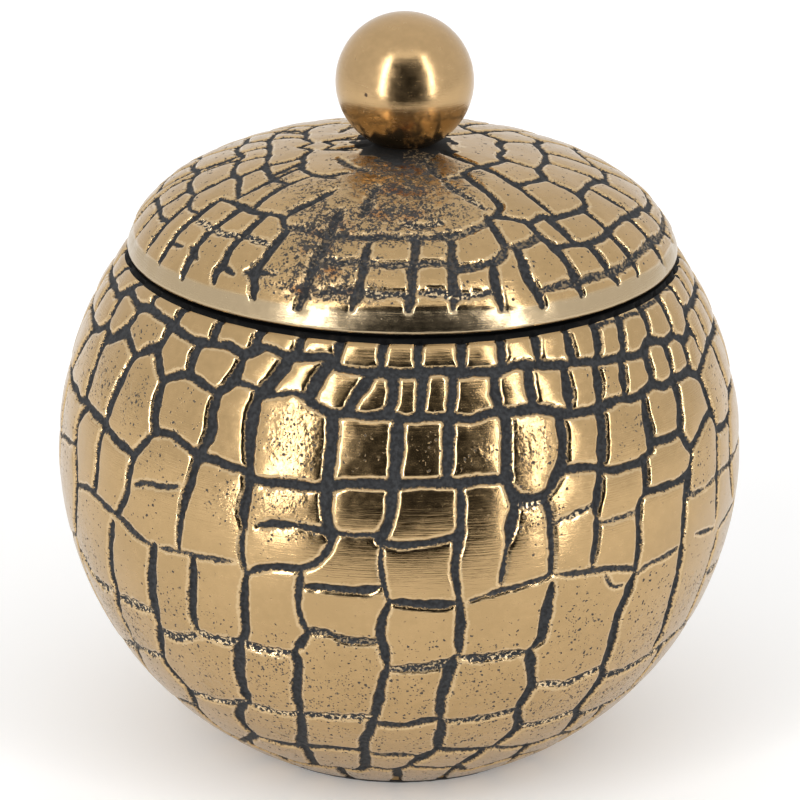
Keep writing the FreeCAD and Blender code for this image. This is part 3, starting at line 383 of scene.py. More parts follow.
def cut_grooves(grooves, place, rows, reach, corner):
    """How far in metres each point of a skin lies from the edge of its nearest groove, less than 0 in
    it, with that groove's depth and how broken it is. place gives the plain skin's points, and corner how
    far the scales' corners are rounded in each row."""
    around = np.arange(STEPS_ROUND) * 360 / STEPS_ROUND
    skin = place(around[None, :], rows[:, None])
    farthest = 8 * MM      # kept where no groove is near
    searched = 0.007       # how far to each side of a groove its distance is worked out
    edge = np.full(skin.shape[:2], farthest)
    depth = np.zeros_like(edge)
    broken = np.zeros_like(edge)
    for number, (width, rough, *points) in enumerate(grooves):
        line = smooth_line(points, 1.0)
        path = place(line[:, 0], line[:, 1])
        run = np.concatenate([[0], np.cumsum(np.linalg.norm(np.diff(path, axis=0), axis=1))])
        ends = np.minimum(run, run[-1] - run)
        wobble = 0.14 * np.sin(run / 0.0021 + number * 1.7) * np.sin(run / 0.0055 + number)
        half = 0.5 * width * MM * (1 + wobble)
        half *= (0.55 + 0.45 * smooth_step(ends, 0, 3 * MM)) * (1 + 0.25 * rough)
        deep = min(1.25, 0.48 * width) * MM * (1 - 0.45 * rough)
        own = np.full_like(edge, np.inf)
        for k in range(len(line) - 1):
            turn_ends, row_ends = line[k:k + 2].T
            low, high = np.searchsorted(rows, (row_ends.min() - reach, row_ends.max() + reach))
            if low == high:
                continue
            girth = max(0.006, np.hypot(*path[k, :2]))
            spare = degrees(searched / girth)
            start = int((turn_ends.min() - spare) * STEPS_ROUND / 360)
            stop = int((turn_ends.max() + spare) * STEPS_ROUND / 360) + 2
            window = np.ix_(range(low, high), np.arange(start, min(stop, start + STEPS_ROUND)) % STEPS_ROUND)
            way = path[k + 1] - path[k]
            off = skin[window] - path[k]
            along = np.clip(off @ way / (way @ way), 0, 1)
            gap = np.linalg.norm(off - along[..., None] * way, axis=-1)
            gap -= half[k] + along * (half[k + 1] - half[k])
            own[window] = np.minimum(own[window], gap)
        depth[own < edge] = deep
        broken[own < edge] = rough
        both = np.clip(1 - np.abs(edge - own) / corner, 0, 1)
        edge = np.minimum(edge, own) - both**2 * corner / 4
    return skin, edge, depth, broken


def mirrored(grooves):
    """The grooves of the front half again, as their mirror image on the back half."""
    return [(width, rough, *[(180 - turn, row) for turn, row in points]) for width, rough, *points in grooves]


def patches(spots, around, rows):
    """A field over a skin from 0 to 1 that is high round each spot (turn, row, reach, strength)."""
    field = np.zeros((len(rows), len(around)))
    for turn, row, reach, strength in spots:
        aside = (around[None, :] - turn + 180) % 360 - 180
        near = (aside / reach) ** 2 + ((rows[:, None] - row) / reach) ** 2
        field = np.maximum(field, strength * np.exp(-near))
    return field


def turned_mesh(name, radius, height, facing, closed):
    """A mesh swept round the upright axis. radius and height have a row for each ring, and facing gives
    each ring's material. A closed profile joins its last ring to its first, an open one is capped."""
    rings, columns = radius.shape
    turn = np.arange(columns) * 2 * np.pi / columns
    spots = np.stack([radius * np.sin(turn), -radius * np.cos(turn), height], -1)
    low = np.arange(rings if closed else rings - 1)[:, None]
    side = np.arange(columns)[None, :]
    high, after = (low + 1) % rings, (side + 1) % columns
    quads = np.stack([low * columns + side, low * columns + after,
                      high * columns + after, high * columns + side], -1)
    corners = [quads.ravel()]
    starts = [np.arange(quads.size // 4) * 4]
    step = np.hypot(np.diff(radius.mean(1), append=radius[0].mean()),
                    np.diff(height.mean(1), append=height[0].mean()))
    upright = np.concatenate([[0], np.cumsum(step[:len(low)])])
    margin, wide, tall = 0.01, 0.98, 0.84      # where the swept skin lies on the UV map
    upright *= tall / upright[-1]
    left, under = np.broadcast_arrays(side / columns * wide + margin, upright[low] + margin)
    right, over = np.broadcast_arrays((side + 1) / columns * wide + margin, upright[low + 1] + margin)
    maps = [np.stack([left, under, right, under, right, over, left, over], -1).reshape(-1, 2)]
    slots = [np.broadcast_to(np.asarray(facing)[low], quads.shape[:2]).ravel()]
    if not closed:
        cap_size, first_cap, last_cap = 0.06, (0.1, 0.925), (0.3, 0.925)      # the two caps on the UV map
        disc = np.stack([np.sin(turn), np.cos(turn)], -1) * cap_size
        corners += [np.arange(columns)[::-1], (rings - 1) * columns + np.arange(columns)]
        starts += [[quads.size], [quads.size + columns]]
        maps += [disc[::-1] + first_cap, disc + last_cap]
        slots += [[facing[0]], [facing[-1]]]
    mesh = bpy.data.meshes.new(name)
    mesh.vertices.add(rings * columns)
    mesh.vertices.foreach_set("co", spots.ravel())
    corners = np.concatenate(corners)
    mesh.loops.add(len(corners))
    mesh.loops.foreach_set("vertex_index", corners)
    starts = np.concatenate(starts)
    mesh.polygons.add(len(starts))
    mesh.polygons.foreach_set("loop_start", starts)
    mesh.polygons.foreach_set("material_index", np.concatenate(slots).astype(np.int32))
    mesh.update(calc_edges=True)
    mesh.uv_layers.new(name="OFBake").uv.foreach_set("vector", np.concatenate(maps).ravel())
    mesh.shade_smooth()
    mesh.set_sharp_from_angle(angle=radians(62))
    piece = bpy.data.objects.new(name, mesh)
    bpy.context.scene.collection.objects.link(piece)
    return piece


def note_on(piece, name, values):
    """Keeps a number for each point of a piece, which its material reads."""
    kept = piece.data.attributes.new(name, "FLOAT", "POINT")
    kept.data.foreach_set("value", np.ascontiguousarray(values, np.float32).ravel())


def rings_between(*corners, gap=0.003):
    """Rings of a profile from corner to corner, each (radius, height), closer together near a corner."""
    rings = []
    for (r0, z0), (r1, z1) in zip(corners, corners[1:]):
        length = np.hypot(r1 - r0, z1 - z0)
        count = max(1, int(length / gap))
        shares = np.unique(np.concatenate([[0], np.arange(count) / count, [min(0.3, 0.0004 / length)],
                                           [1 - min(0.3, 0.0004 / length)]]))
        rings += [(r0 + (r1 - r0) * s, z0 + (z1 - z0) * s) for s in shares]
    return rings + [corners[-1]]


def ball_place(turn, latitude):
    turn, latitude = np.radians(turn), np.radians(latitude)
    level = ball_radius * np.cos(latitude)
    return np.stack(np.broadcast_arrays(level * np.sin(turn), -level * np.cos(turn),
                                        ball_centre + ball_radius * np.sin(latitude)), -1)


def relief(skin, edge, depth, broken, wavy, seed):
    """How deep the casting is cut below its plain skin, and the groove edge with its ragged line.
    wavy, from 0 to 1, says how far the scales are pillows with lumps, not rubbed flat."""
    ragged = (soft_noise(skin, 1.5 * MM, seed) - 0.5) * 0.5
    ragged += (soft_noise(skin, 4.5 * MM, seed + 1) - 0.5) * 0.5
    ragged += broken * (soft_noise(skin, 1.2 * MM, seed + 2) - 0.5) * 1.6
    edge = edge + ragged * MM
    cut = depth * smooth_step(-edge, -0.7 * MM, 0.9 * MM)
    cut += (0.06 + 0.34 * wavy) * MM * np.exp(-np.clip(edge, 0, None) / (2.9 * MM))
    cut += (0.08 + 0.26 * wavy) * MM * soft_noise(skin, 11 * MM, seed + 3)
    cut += 0.05 * wavy * MM * soft_noise(skin, 3.5 * MM, seed + 4)
    return cut, edge


jar_rows, inside_rows, jar_seed = 294, 64, 11
latitudes = np.linspace(foot_latitude, shoulder_latitude, jar_rows)
turns = np.arange(STEPS_ROUND) * 360 / STEPS_ROUND
wavy = smooth_step(latitudes, -4, 8)[:, None]
all_grooves = jar_grooves + mirrored(jar_grooves) + jar_sides
rounding = (0.9 + 0.7 * wavy) * MM
skin, edge, depth, broken = cut_grooves(all_grooves, ball_place, latitudes, 4.0, rounding)
cut, edge = relief(skin, edge, depth, broken, wavy, jar_seed)
cut += 0.8 * MM * smooth_step(latitudes, shoulder_latitude - 1.1, shoulder_latitude)[:, None]
cut += 0.6 * MM * smooth_step(-latitudes, -foot_latitude - 1.2, -foot_latitude)[:, None]
behind = [(180 - turn, row, reach, badly) for turn, row, reach, badly in jar_pitted]
pitted = np.maximum(patches(jar_pitted, turns, latitudes), patches(behind, turns, latitudes))
pitted = np.maximum(pitted, 0.3 * smooth_step(-latitudes, 6, 14)[:, None])

slope = np.radians(latitudes)[:, None]
outside_radius = (ball_radius - cut) * np.cos(slope)
outside_height = ball_centre + (ball_radius - cut) * np.sin(slope)
before = rings_between((0.004, body_foot), (foot_radius - 0.0012, body_foot), gap=0.02)
inner_top = asin((lip_under - ball_centre) / inner_radius)
inner_bottom = asin((jar_floor - ball_centre) / inner_radius)
inside = [(inner_radius * cos(a), ball_centre + inner_radius * sin(a))
          for a in np.linspace(inner_top, inner_bottom, inside_rows)]
shoulder_height = ball_centre + shoulder_rise
after = rings_between((shoulder_radius - 0.0016, shoulder_height), (neck_radius, shoulder_height),
                      (neck_radius, neck_top - 0.0003), (neck_radius - 0.0003, neck_top),
                      (mouth_radius + 0.0004, neck_top), (mouth_radius, neck_top - 0.0004),
                      (mouth_radius, lip_under), inside[0]) + inside[1:]
after += rings_between((inside[-1][0] - 0.0005, jar_floor), (0.004, jar_floor), gap=0.012)


def whole_profile(before, radius, height, after):
    """Plain rings, then rings with relief, then plain rings, as full rows of radius and height."""
    def rows(rings, k):
        return np.repeat(np.array(rings)[:, k:k + 1], STEPS_ROUND, 1)
    return [np.vstack([rows(before, k), field, rows(after, k)]) for k, field in enumerate((radius, height))]


def padded(field, before, after, value):
    """A field over the rings with relief, with one value on the plain rings before and after them."""
    first, last = [np.full((len(rings), STEPS_ROUND), value) for rings in (before, after)]
    return np.vstack([first, field, last])


jar_radius, jar_height = whole_profile(before, outside_radius, outside_height, after)
ledge_rings = [z >= neck_top - 0.0006 or r > neck_radius - 0.0001 for r, z in after].index(False)
jar_facing = [1] * (len(before) - 1) + [0] * (len(latitudes) - 1)
jar_facing += [2] * (ledge_rings + 2) + [1] * (len(after) - ledge_rings - 1)
jar = turned_mesh("scaled_jar", jar_radius, jar_height, jar_facing, closed=False)
edge = np.vstack([edge, edge[-1:]])      # the top row's grooves run on over the mouth's edge
no_groove = 5.0      # in millimetres, for the rings without relief
note_on(jar, "groove_edge", padded(edge / MM, before, after[1:], no_groove))
note_on(jar, "broken", padded(broken, before, after, 0.0))
note_on(jar, "pitted", padded(pitted, before, after, 0.0))


def colour(red, green, blue):
    """A colour given as it shows on a screen, from 0 to 255, in the shader's own scale."""
    shares = [v / 255 for v in (red, green, blue)]
    return tuple(v / 12.92 if v < 0.04045 else ((v + 0.055) / 1.055) ** 2.4 for v in shares) + (1.0,)


def feed(tree, node, inputs):
    """Gives each input of a node a plain value or the output of another node."""
    for socket, value in inputs.items():
        if isinstance(value, bpy.types.NodeSocket):
            tree.links.new(value, node.inputs[socket])
        else:
            node.inputs[socket].default_value = value


def put(tree, kind, inputs, **settings):
    """A new shader node with its settings and its inputs."""
    made = tree.nodes.new("ShaderNode" + kind)
    for name, value in settings.items():
        setattr(made, name, value)
    feed(tree, made, inputs)
    return made


def reckon(tree, operation, *values):
    return put(tree, "Math", dict(enumerate(values)), operation=operation).outputs[0]


def fade(tree, value, low, high, start=0.0, end=1.0):
    """Runs smoothly from start, where the value is low, to end, where it is high."""
    return put(tree, "MapRange", {0: value, 1: low, 2: high, 3: start, 4: end},
               interpolation_type="SMOOTHSTEP").outputs[0]


def lumps(tree, where, scale, detail=2.0, rough=0.5):
    noise = {"Vector": where, "Scale": scale, "Detail": detail, "Roughness": rough}
    return put(tree, "TexNoise", noise).outputs[0]


def tint(tree, share, first, second, blend="MIX"):
    return put(tree, "Mix", {0: share, 6: first, 7: second}, data_type="RGBA", blend_type=blend).outputs[2]


def noted(tree, name):
    """A number that note_on kept for each point, or 0 on a piece that has none."""
    return put(tree, "Attribute", {}, attribute_name=name).outputs["Fac"]


def bump(tree, strength, distance, height):
    return put(tree, "Bump", {"Strength": strength, "Distance": distance, "Height": height}).outputs[0]


def new_material(name):
    """An empty material: its tree, its shader, and where on the piece each point is, in metres."""
    material = bpy.data.materials.new(name)
    material.use_nodes = True
    tree = material.node_tree
    shader = tree.nodes["Principled BSDF"]
    where = tree.nodes.new("ShaderNodeTexCoord").outputs["Object"]
    return material, tree, shader, where


def new_group(name, inputs, outputs):
    """A node group, with its inner input and output nodes. Each socket is (name, kind)."""
    group = bpy.data.node_groups.new(name, "ShaderNodeTree")
    for label, kind in inputs:
        group.interface.new_socket(label, in_out="INPUT", socket_type="NodeSocket" + kind)
    for label, kind in outputs:
        group.interface.new_socket(label, in_out="OUTPUT", socket_type="NodeSocket" + kind)
    return group, group.nodes.new("NodeGroupInput"), group.nodes.new("NodeGroupOutput")


# The rubbed brass face that scales and knob share: faint clouds in the tone, and fine rubbing marks.
rubbed_brass, given, result = new_group(
    "rubbed_brass", [("Where", "Vector"), ("Brass", "Color"), ("Marks", "Float")],
    [("Colour", "Color"), ("Roughness", "Float"), ("Height", "Float")])
tree = rubbed_brass
where, metal = given.outputs["Where"], given.outputs["Brass"]
clouds = lumps(tree, where, 55, 3)
grain = lumps(tree, where, 420, 4, 0.6)
stretch = put(tree, "VectorMath", {0: where, 1: (70, 70, 2300)}, operation="MULTIPLY").outputs[0]
marks = reckon(tree, "MULTIPLY", lumps(tree, stretch, 1, 3, 0.6), given.outputs["Marks"])
darker = tint(tree, 1.0, metal, (0.93, 0.92, 0.90, 1), "MULTIPLY")
lighter = tint(tree, 1.0, metal, (1.04, 1.03, 1.02, 1), "MULTIPLY")
shade = reckon(tree, "MULTIPLY_ADD", grain, 0.5, reckon(tree, "MULTIPLY", clouds, 0.5))
polish = reckon(tree, "MULTIPLY_ADD", fade(tree, grain, 0.3, 0.7), 0.08, 0.13)
feed(tree, result, {
    "Colour": tint(tree, fade(tree, shade, 0.36, 0.64), darker, lighter),
    "Roughness": reckon(tree, "MULTIPLY_ADD", marks, 0.12, polish),
    "Height": reckon(tree, "MULTIPLY_ADD", grain, 0.5, marks),
})

BRASS = colour(182, 153, 110)

scale_skin, tree, shader, where = new_material("scale_skin")
brass = put(tree, "Group", {"Where": where, "Brass": BRASS, "Marks": 1.0}, node_tree=rubbed_brass)
edge_mm = noted(tree, "groove_edge")
broken_share = noted(tree, "broken")
pitted_share = noted(tree, "pitted")
corroded_share = noted(tree, "corroded")
# the black wash lies in the grooves up to a ragged line
fine = lumps(tree, where, 1500, 3, 0.6)
line = reckon(tree, "MULTIPLY_ADD", fine, 1.5, reckon(tree, "SUBTRACT", edge_mm, 0.76))
in_groove = fade(tree, line, -0.18, 0.12, 1.0, 0.0)
crumbs = fade(tree, lumps(tree, where, 1000, 3, 0.6), 0.52, 0.56)
crumb_tops = reckon(tree, "MULTIPLY", crumbs, fade(tree, broken_share, 0.1, 0.7))
crumb_tops = reckon(tree, "MULTIPLY", crumb_tops, in_groove)
in_groove = reckon(tree, "SUBTRACT", in_groove, crumb_tops)
# pinholes crowd together in the pitted scales, a coarse set and a fine one
bent = put(tree, "TexNoise", {"Vector": where, "Scale": 900, "Detail": 2.0}).outputs["Color"]
bend = {0: bent, 1: (0.0012, 0.0012, 0.0012), 2: where}
bent = put(tree, "VectorMath", bend, operation="MULTIPLY_ADD").outputs[0]
crowd = fade(tree, lumps(tree, where, 150, 3, 0.6), 0.34, 0.62, 0.25, 1.0)
crowd = reckon(tree, "MULTIPLY", crowd, pitted_share)
pinhole = 0.0
for spacing, share, widest in ((1050.0, 0.62, 0.50), (1700.0, 0.50, 0.44)):
    holes = put(tree, "TexVoronoi", {"Vector": bent, "Scale": spacing})
    chance = put(tree, "SeparateColor", {0: holes.outputs["Color"]}).outputs
    there = reckon(tree, "MULTIPLY_ADD", crowd, share, reckon(tree, "MULTIPLY", chance[0], -1.0))
    there = fade(tree, there, -0.04, 0.04)
    size = reckon(tree, "MULTIPLY", fade(tree, chance[1], 0.2, 1.0, 0.22, widest), there)
    hole = fade(tree, reckon(tree, "SUBTRACT", size, holes.outputs["Distance"]), -0.05, 0.06)
    pinhole = reckon(tree, "MAXIMUM", pinhole, hole)
# corroded ground on the lid
scab = reckon(tree, "MULTIPLY", lumps(tree, where, 480, 3), 0.4)
scab = reckon(tree, "MULTIPLY_ADD", lumps(tree, where, 1300, 3, 0.7), 0.6, scab)
scab = reckon(tree, "MULTIPLY_ADD", corroded_share, 0.12, scab)
scab = reckon(tree, "MULTIPLY", fade(tree, scab, 0.575, 0.60), fade(tree, corroded_share, 0.05, 0.3))
wash = reckon(tree, "MAXIMUM", reckon(tree, "MULTIPLY", pinhole, 0.9), reckon(tree, "MULTIPLY", scab, 0.95))
wash = reckon(tree, "MAXIMUM", in_groove, wash)
# bare bright metal along the rubbed edges and in crumbs; the paler tint along the groove edges is partly
# painted highlight, for the light their rounded edges catch
rim = reckon(tree, "MULTIPLY", fade(tree, line, 0.05, 0.35), fade(tree, line, 0.45, 1.1, 1.0, 0.0))
crumb_light = reckon(tree, "MULTIPLY", crumbs, fade(tree, corroded_share, 0.3, 1.0, 0.0, 0.6))
crumb_light = reckon(tree, "MULTIPLY", reckon(tree, "MAXIMUM", crumb_tops, crumb_light), 0.8)
bare_metal_and_highlight = reckon(tree, "MAXIMUM", reckon(tree, "MULTIPLY", rim, 0.35), crumb_light)
bright = tint(tree, bare_metal_and_highlight, brass.outputs["Colour"], colour(236, 212, 172))
rust = fade(tree, lumps(tree, where, 170, 4, 0.6), 0.46, 0.60)
rust = reckon(tree, "MULTIPLY", fade(tree, corroded_share, 0.6, 1.0), rust)
browned = tint(tree, rust, bright, colour(158, 100, 46))
browned = tint(tree, noted(tree, "bare"), browned, colour(180, 163, 134))
wash_tone = fade(tree, lumps(tree, where, 900, 3), 0.3, 0.7)
wash_tone = tint(tree, wash_tone, colour(24, 25, 27), colour(54, 55, 57))
# painted shade under the knob: near the knob's foot the wash tone goes to near black
wash_tone = tint(tree, noted(tree, "painted_knob_shade"), wash_tone, colour(8, 8, 8))
dull = reckon(tree, "MULTIPLY_ADD", rim, -0.06, brass.outputs["Roughness"])
dull = reckon(tree, "MULTIPLY_ADD", corroded_share, 0.2, dull)
relief_height = reckon(tree, "MULTIPLY_ADD", wash, -2.2, brass.outputs["Height"])
relief_height = reckon(tree, "MULTIPLY_ADD", reckon(tree, "MULTIPLY", wash, fine), 1.6, relief_height)
lumpy = reckon(tree, "MULTIPLY", fade(tree, crowd, 0.15, 0.7), lumps(tree, where, 620, 3, 0.6))
relief_height = reckon(tree, "MULTIPLY_ADD", lumpy, 3.0, relief_height)
feed(tree, shader, {
    "Base Color": tint(tree, wash, browned, wash_tone),
    "Metallic": reckon(tree, "MULTIPLY_ADD", wash, -0.85, 1.0),
    "Roughness": put(tree, "Mix", {0: wash, 2: dull, 3: 0.78}).outputs[0],
    "Normal": bump(tree, 0.35, 0.0002, relief_height),
})

# the foot's underside, the bore of the mouth and the unpolished inside, as the mould left it
cast_inside, tree, shader, where = new_material("cast_inside")
sand = lumps(tree, where, 700, 5, 0.65)
stain = lumps(tree, where, 42, 4, 0.6)
inside_tone = tint(tree, fade(tree, stain, 0.35, 0.65), colour(150, 124, 88), colour(108, 92, 70))
feed(tree, shader, {
    "Base Color": tint(tree, fade(tree, sand, 0.55, 0.75), inside_tone, colour(66, 58, 48)),
    "Metallic": 0.8,
    "Roughness": fade(tree, sand, 0.3, 0.7, 0.48, 0.7),
    "Normal": bump(tree, 0.5, 0.0004, sand),
})

# the ledge and neck under the lid's rim keep the black wash, taken near black as painted shade for the
# shadowed gap under the rim
washed_and_shaded_ledge, tree, shader, where = new_material("washed_and_shaded_ledge")
smear = lumps(tree, where, 260, 4, 0.6)
feed(tree, shader, {
    "Base Color": tint(tree, fade(tree, smear, 0.55, 0.8), colour(10, 10, 10), colour(38, 33, 28)),
    "Roughness": fade(tree, smear, 0.3, 0.7, 0.85, 0.65),
    "Specular IOR Level": 0.12,
    "Normal": bump(tree, 0.3, 0.0003, smear),
})

for finish in (scale_skin, cast_inside, washed_and_shaded_ledge):
    jar.data.materials.append(finish)
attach(jar, "jar")
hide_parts("jar_body")


# Base pad. A thin disc of dark felt, punched from sheet and glued under the flat foot, so that the
# metal doesn't mark a table. Its cut edge is a little woolly.
pad_low, pad_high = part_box("base_pad")
pad_radius = (pad_high.x - pad_low.x) / 2
pad_rings = rings_between((0.003, pad_low.z), (pad_radius - 0.0004, pad_low.z),
                          (pad_radius, pad_low.z + 0.0004), (pad_radius, pad_high.z - 0.0003),
                          (pad_radius - 0.0003, pad_high.z), (0.003, pad_high.z), gap=0.004)
pad_rings = np.array(pad_rings)
pad_steps, wool_seed = 360, 5
pad_turn = np.arange(pad_steps) * 2 * np.pi / pad_steps
pad_radii = np.repeat(pad_rings[:, :1], pad_steps, 1)
pad_heights = np.repeat(pad_rings[:, 1:], pad_steps, 1)
pad_spots = np.stack([pad_radii * np.sin(pad_turn), -pad_radii * np.cos(pad_turn), pad_heights], -1)
pad_radii = pad_radii - 0.0003 * soft_noise(pad_spots, 0.0015, wool_seed) * (pad_radii > pad_radius - 0.001)
pad = turned_mesh("felt_pad", pad_radii, pad_heights, [0] * len(pad_rings), closed=False)
felt, tree, shader, where = new_material("dark_felt")
wool = lumps(tree, where, 1800, 5, 0.7)
feed(tree, shader, {
    "Base Color": tint(tree, fade(tree, wool, 0.3, 0.7), colour(26, 25, 26), colour(58, 56, 56)),
    "Roughness": 0.95,
    "Sheen Weight": 0.3,
    "Normal": bump(tree, 0.7, 0.0005, wool),
})
pad.data.materials.append(felt)
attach(pad, "jar")
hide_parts("base_pad")


# Lid. A shallow dome cast like the jar, with scales in rings round the knob and a plain rim that is
# rubbed bright. A turned spigot under it drops into the jar's mouth and keeps the lid in its place.
lid_radius = 0.079998
dome_height = 0.033
rim_under = neck_top
dome_plane = rim_under - 0.002
lid_wall = 0.004
spigot_radius = mouth_radius - 0.0006
spigot_bore = spigot_radius - 0.0035
spigot_end = rim_under - 0.008
crown_hole = 0.00275
boss_radius = crown_hole + 0.008
seat_radius = 0.00875
seat_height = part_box("ball_knob")[0].z
crown_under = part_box("plain_washer")[1].z
seat_angle = degrees(asin(seat_radius / lid_radius))
rim_angle = degrees(np.arccos((rim_under - dome_plane) / dome_height))

# Grooves of the lid: as for the jar, with the turn from the front and the angle down from the crown.
lid_grooves = [
    # spokes that run out on to the rim
    (2.2, 0, (-88, 35), (-88.5, 41), (-88, 47)),
    (2.4, 0, (-87.5, 48), (-88, 55), (-87.5, 61), (-88, 66), (-88, 76)),
    (2.2, 0, (-78.5, 50.5), (-77.8, 55), (-78.3, 59), (-79, 61.8)),
    (2.2, 0, (-79, 61.8), (-78, 68), (-78.5, 75.5)),
    (2.2, 0, (-73.5, 38.5), (-73, 44), (-72.5, 50)),
    (2.4, 0, (-69.8, 53.5), (-69, 60), (-68.7, 68), (-68.6, 75.5)),
    (2.6, 0, (-62, 46), (-61.5, 54), (-61.5, 62), (-61, 70), (-61, 76.5)),
    (2.6, 0, (-51.5, 44.5), (-51.5, 52), (-52.5, 58), (-52, 66), (-51.5, 72), (-51.5, 77.5)),
    (2.6, 0, (-41.5, 44.5), (-42, 54), (-42.3, 60), (-41.8, 66), (-42.5, 71), (-42, 74.5)),
    (2.6, 0, (-31.5, 48), (-32, 55), (-32.5, 62), (-33.3, 66), (-32, 71), (-31.2, 76.5)),
    (2.6, 0.3, (-20, 38), (-19.5, 50), (-20, 58), (-20.2, 66), (-20.5, 73), (-21, 77.5)),
    (2.4, 0.2, (-8.5, 50), (-8.7, 60), (-9, 68), (-10, 75.5)),
    (2.4, 0.2, (3.5, 47), (3, 55), (2.3, 60), (2, 68), (1.5, 75)),
    (2.4, 0.2, (13, 47), (12, 54), (11.3, 60), (11, 66), (10.5, 74.5)),
    (2.6, 0, (21, 58), (20.3, 64), (20.2, 70), (20.5, 76.5)),
    (2.8, 0, (28.5, 53.5), (28.3, 60), (28, 65), (29, 72), (29.5, 77.5)),
    (2.8, 0, (37, 51), (38.3, 56), (39.2, 62), (39.3, 68), (39.5, 76.5)),
    (2.6, 0, (48, 58.3), (49, 63), (49.3, 69), (50.5, 76.5)),
    (2.6, 0, (57.5, 58), (58, 64), (58.3, 69), (57.8, 76.5)),
    (2.6, 0, (69.5, 57), (70, 62), (69.7, 68), (69.8, 73), (71, 79)),
    (2.6, 0, (80, 58.5), (81.5, 64), (81.5, 71), (84.5, 78)),
    # spokes of the inner rings
    (2.6, 0, (26, 40), (26, 45), (26, 52)),
    (2.4, 0, (36.5, 44.5), (37, 50)),
    (2.6, 0, (43.5, 44.8), (44.5, 50), (44.5, 56.5)),
    (2.4, 0, (58.5, 47), (58.3, 52), (58, 57)),
    (2.4, 0, (73, 43), (73, 50), (72.8, 57)),
    (2.4, 0, (83.5, 44.5), (83.3, 51), (82, 58)),
    (2.2, 0, (47, 45.5), (47.5, 38), (49, 31), (51, 24), (52, 16), (53, 10)),
    (2.2, 0, (65, 43), (64.5, 37), (64, 33.3)),
    (2.4, 0, (27, 41), (30, 40), (33.5, 37), (34, 31), (34, 25), (36, 21)),
    (2.2, 0, (83.5, 30.5), (83.5, 37), (84, 44)),
    (2.0, 0, (71, 30), (71, 25), (73, 21.5), (77, 20.5)),
    (1.8, 0, (-47, 45), (-48.5, 39), (-48, 32), (-45, 26)),
    (2.2, 0, (-35, 44), (-34, 40), (-31, 36), (-28, 30)),
    (1.8, 0, (-57, 43), (-56.5, 36), (-57, 31), (-58, 25)),
    (1.8, 0, (-70, 38), (-70.5, 34), (-71, 31)),
    (1.8, 0, (-84, 37), (-84, 33), (-83, 29)),
    (1.8, 0, (-72, 31), (-70, 26), (-72, 22)),
    (1.8, 0, (-60, 32), (-62, 26), (-64, 23)),
    (1.8, 0, (-79, 17), (-76, 12), (-70, 7)),
    (2.2, 0.4, (-12, 26), (-12.5, 31), (-12, 36), (-13, 40)),
    (2.2, 0.3, (-33, 21.5), (-37, 24), (-41, 25.5)),
    (2.0, 0.3, (-54, 16.5), (-45, 17.5), (-32, 18.5), (-22, 19)),
    (2.0, 0.4, (24, 12), (20.5, 17), (20, 21), (24, 23), (30, 22.5), (34, 22)),
    (1.8, 0.6, (20.5, 24), (22, 29), (25, 33.5), (27, 38)),
    (2.2, 0.7, (0, 42), (5, 42.8), (11.5, 42)),
    # rings
    (2.1, 0, (38, 56), (44, 57), (49, 58.3), (55, 58), (58, 57), (64, 56.3), (69.5, 56.5), (75, 58),
     (80, 58.5), (83, 61), (90, 62.5)),
    (2.1, 0, (27.5, 41), (31, 42), (34, 43.5), (38, 45.5), (43, 44.5), (46, 46), (52, 46.5), (58, 47),
     (62, 46), (65, 43), (70, 42.5), (76, 42.5), (82, 44), (86, 46), (90, 46.5)),
    (2.1, 0, (49, 31.5), (57, 32), (65, 33), (70, 30.5), (76, 30), (83, 30.5), (90, 30.5)),
    (1.9, 0, (36, 21), (44, 20), (52, 20.5), (60, 21), (71, 22), (77, 20.5), (84, 20.5), (90, 21)),
    (2.2, 0.35, (30, 71), (36, 70.5), (39, 71), (43, 70.5), (49, 71), (54, 71), (58, 70), (64, 69),
     (69.5, 68.5), (76, 70), (81.5, 70), (90, 70)),
    (2.2, 0.3, (11.5, 60), (17, 59), (21, 58), (25, 55), (26, 50)),
    (2.2, 0.3, (27, 53), (30, 53.5), (35, 52), (37, 50)),
    (2.0, 0.6, (-18, 71), (-14, 69), (-10, 68), (-5, 69), (0, 68.5), (2, 68.5)),
    (2.0, 0.6, (4, 68.5), (7, 68), (10, 69.5), (15, 70), (20, 69)),
    (1.7, 0, (-70, 62), (-74, 62.5), (-79, 61.5), (-88, 62)),
    (1.7, 0, (-73, 50), (-70, 53), (-66, 54), (-62, 53.5)),
    (1.7, 0, (-90, 47.5), (-88, 47.5), (-84, 49.5), (-78, 50.5), (-74, 50)),
    (2.0, 0, (-62, 46), (-57, 45), (-51.5, 45), (-46, 45.3), (-41, 44.5), (-36, 44.5), (-33, 48)),
    (1.6, 0.7, (-60, 56), (-56, 55.5), (-52, 56), (-46, 56), (-42, 55), (-37, 55), (-32, 55.5)),
    (1.8, 0.1, (-61, 66.5), (-58.5, 66.5), (-56.5, 66)),
    (1.8, 0.1, (-54, 65), (-51.5, 66.5), (-49.5, 68)),
    (1.8, 0.1, (-42, 66.5), (-40, 68), (-38, 69)),
    (2.0, 0.1, (-35, 67), (-32, 66), (-28, 65.5)),
    (1.7, 0, (-90, 35), (-82, 37), (-75, 38.5), (-70, 38), (-66, 39), (-60, 41.5), (-57, 43)),
    (1.7, 0, (-90, 28.5), (-83, 29), (-76, 30), (-71, 31), (-66, 31.5), (-58, 32.5), (-48, 32)),
    (1.7, 0, (-90, 22), (-82, 19.5), (-72, 22), (-64, 23), (-58, 25), (-45, 26), (-34, 25)),
    (1.6, 0, (-90, 14.5), (-85, 15.5), (-80, 16.5), (-76, 15), (-70, 12.8), (-62, 11)),
    (2.0, 0.4, (-20, 57), (-14, 58), (-9, 57), (-3, 58), (3, 57), (8, 57), (12, 57)),
    (2.2, 0.4, (-33, 48), (-26, 47), (-20, 48), (-12, 48), (-4, 47), (4, 47), (13, 47), (20, 45), (26, 42)),
]

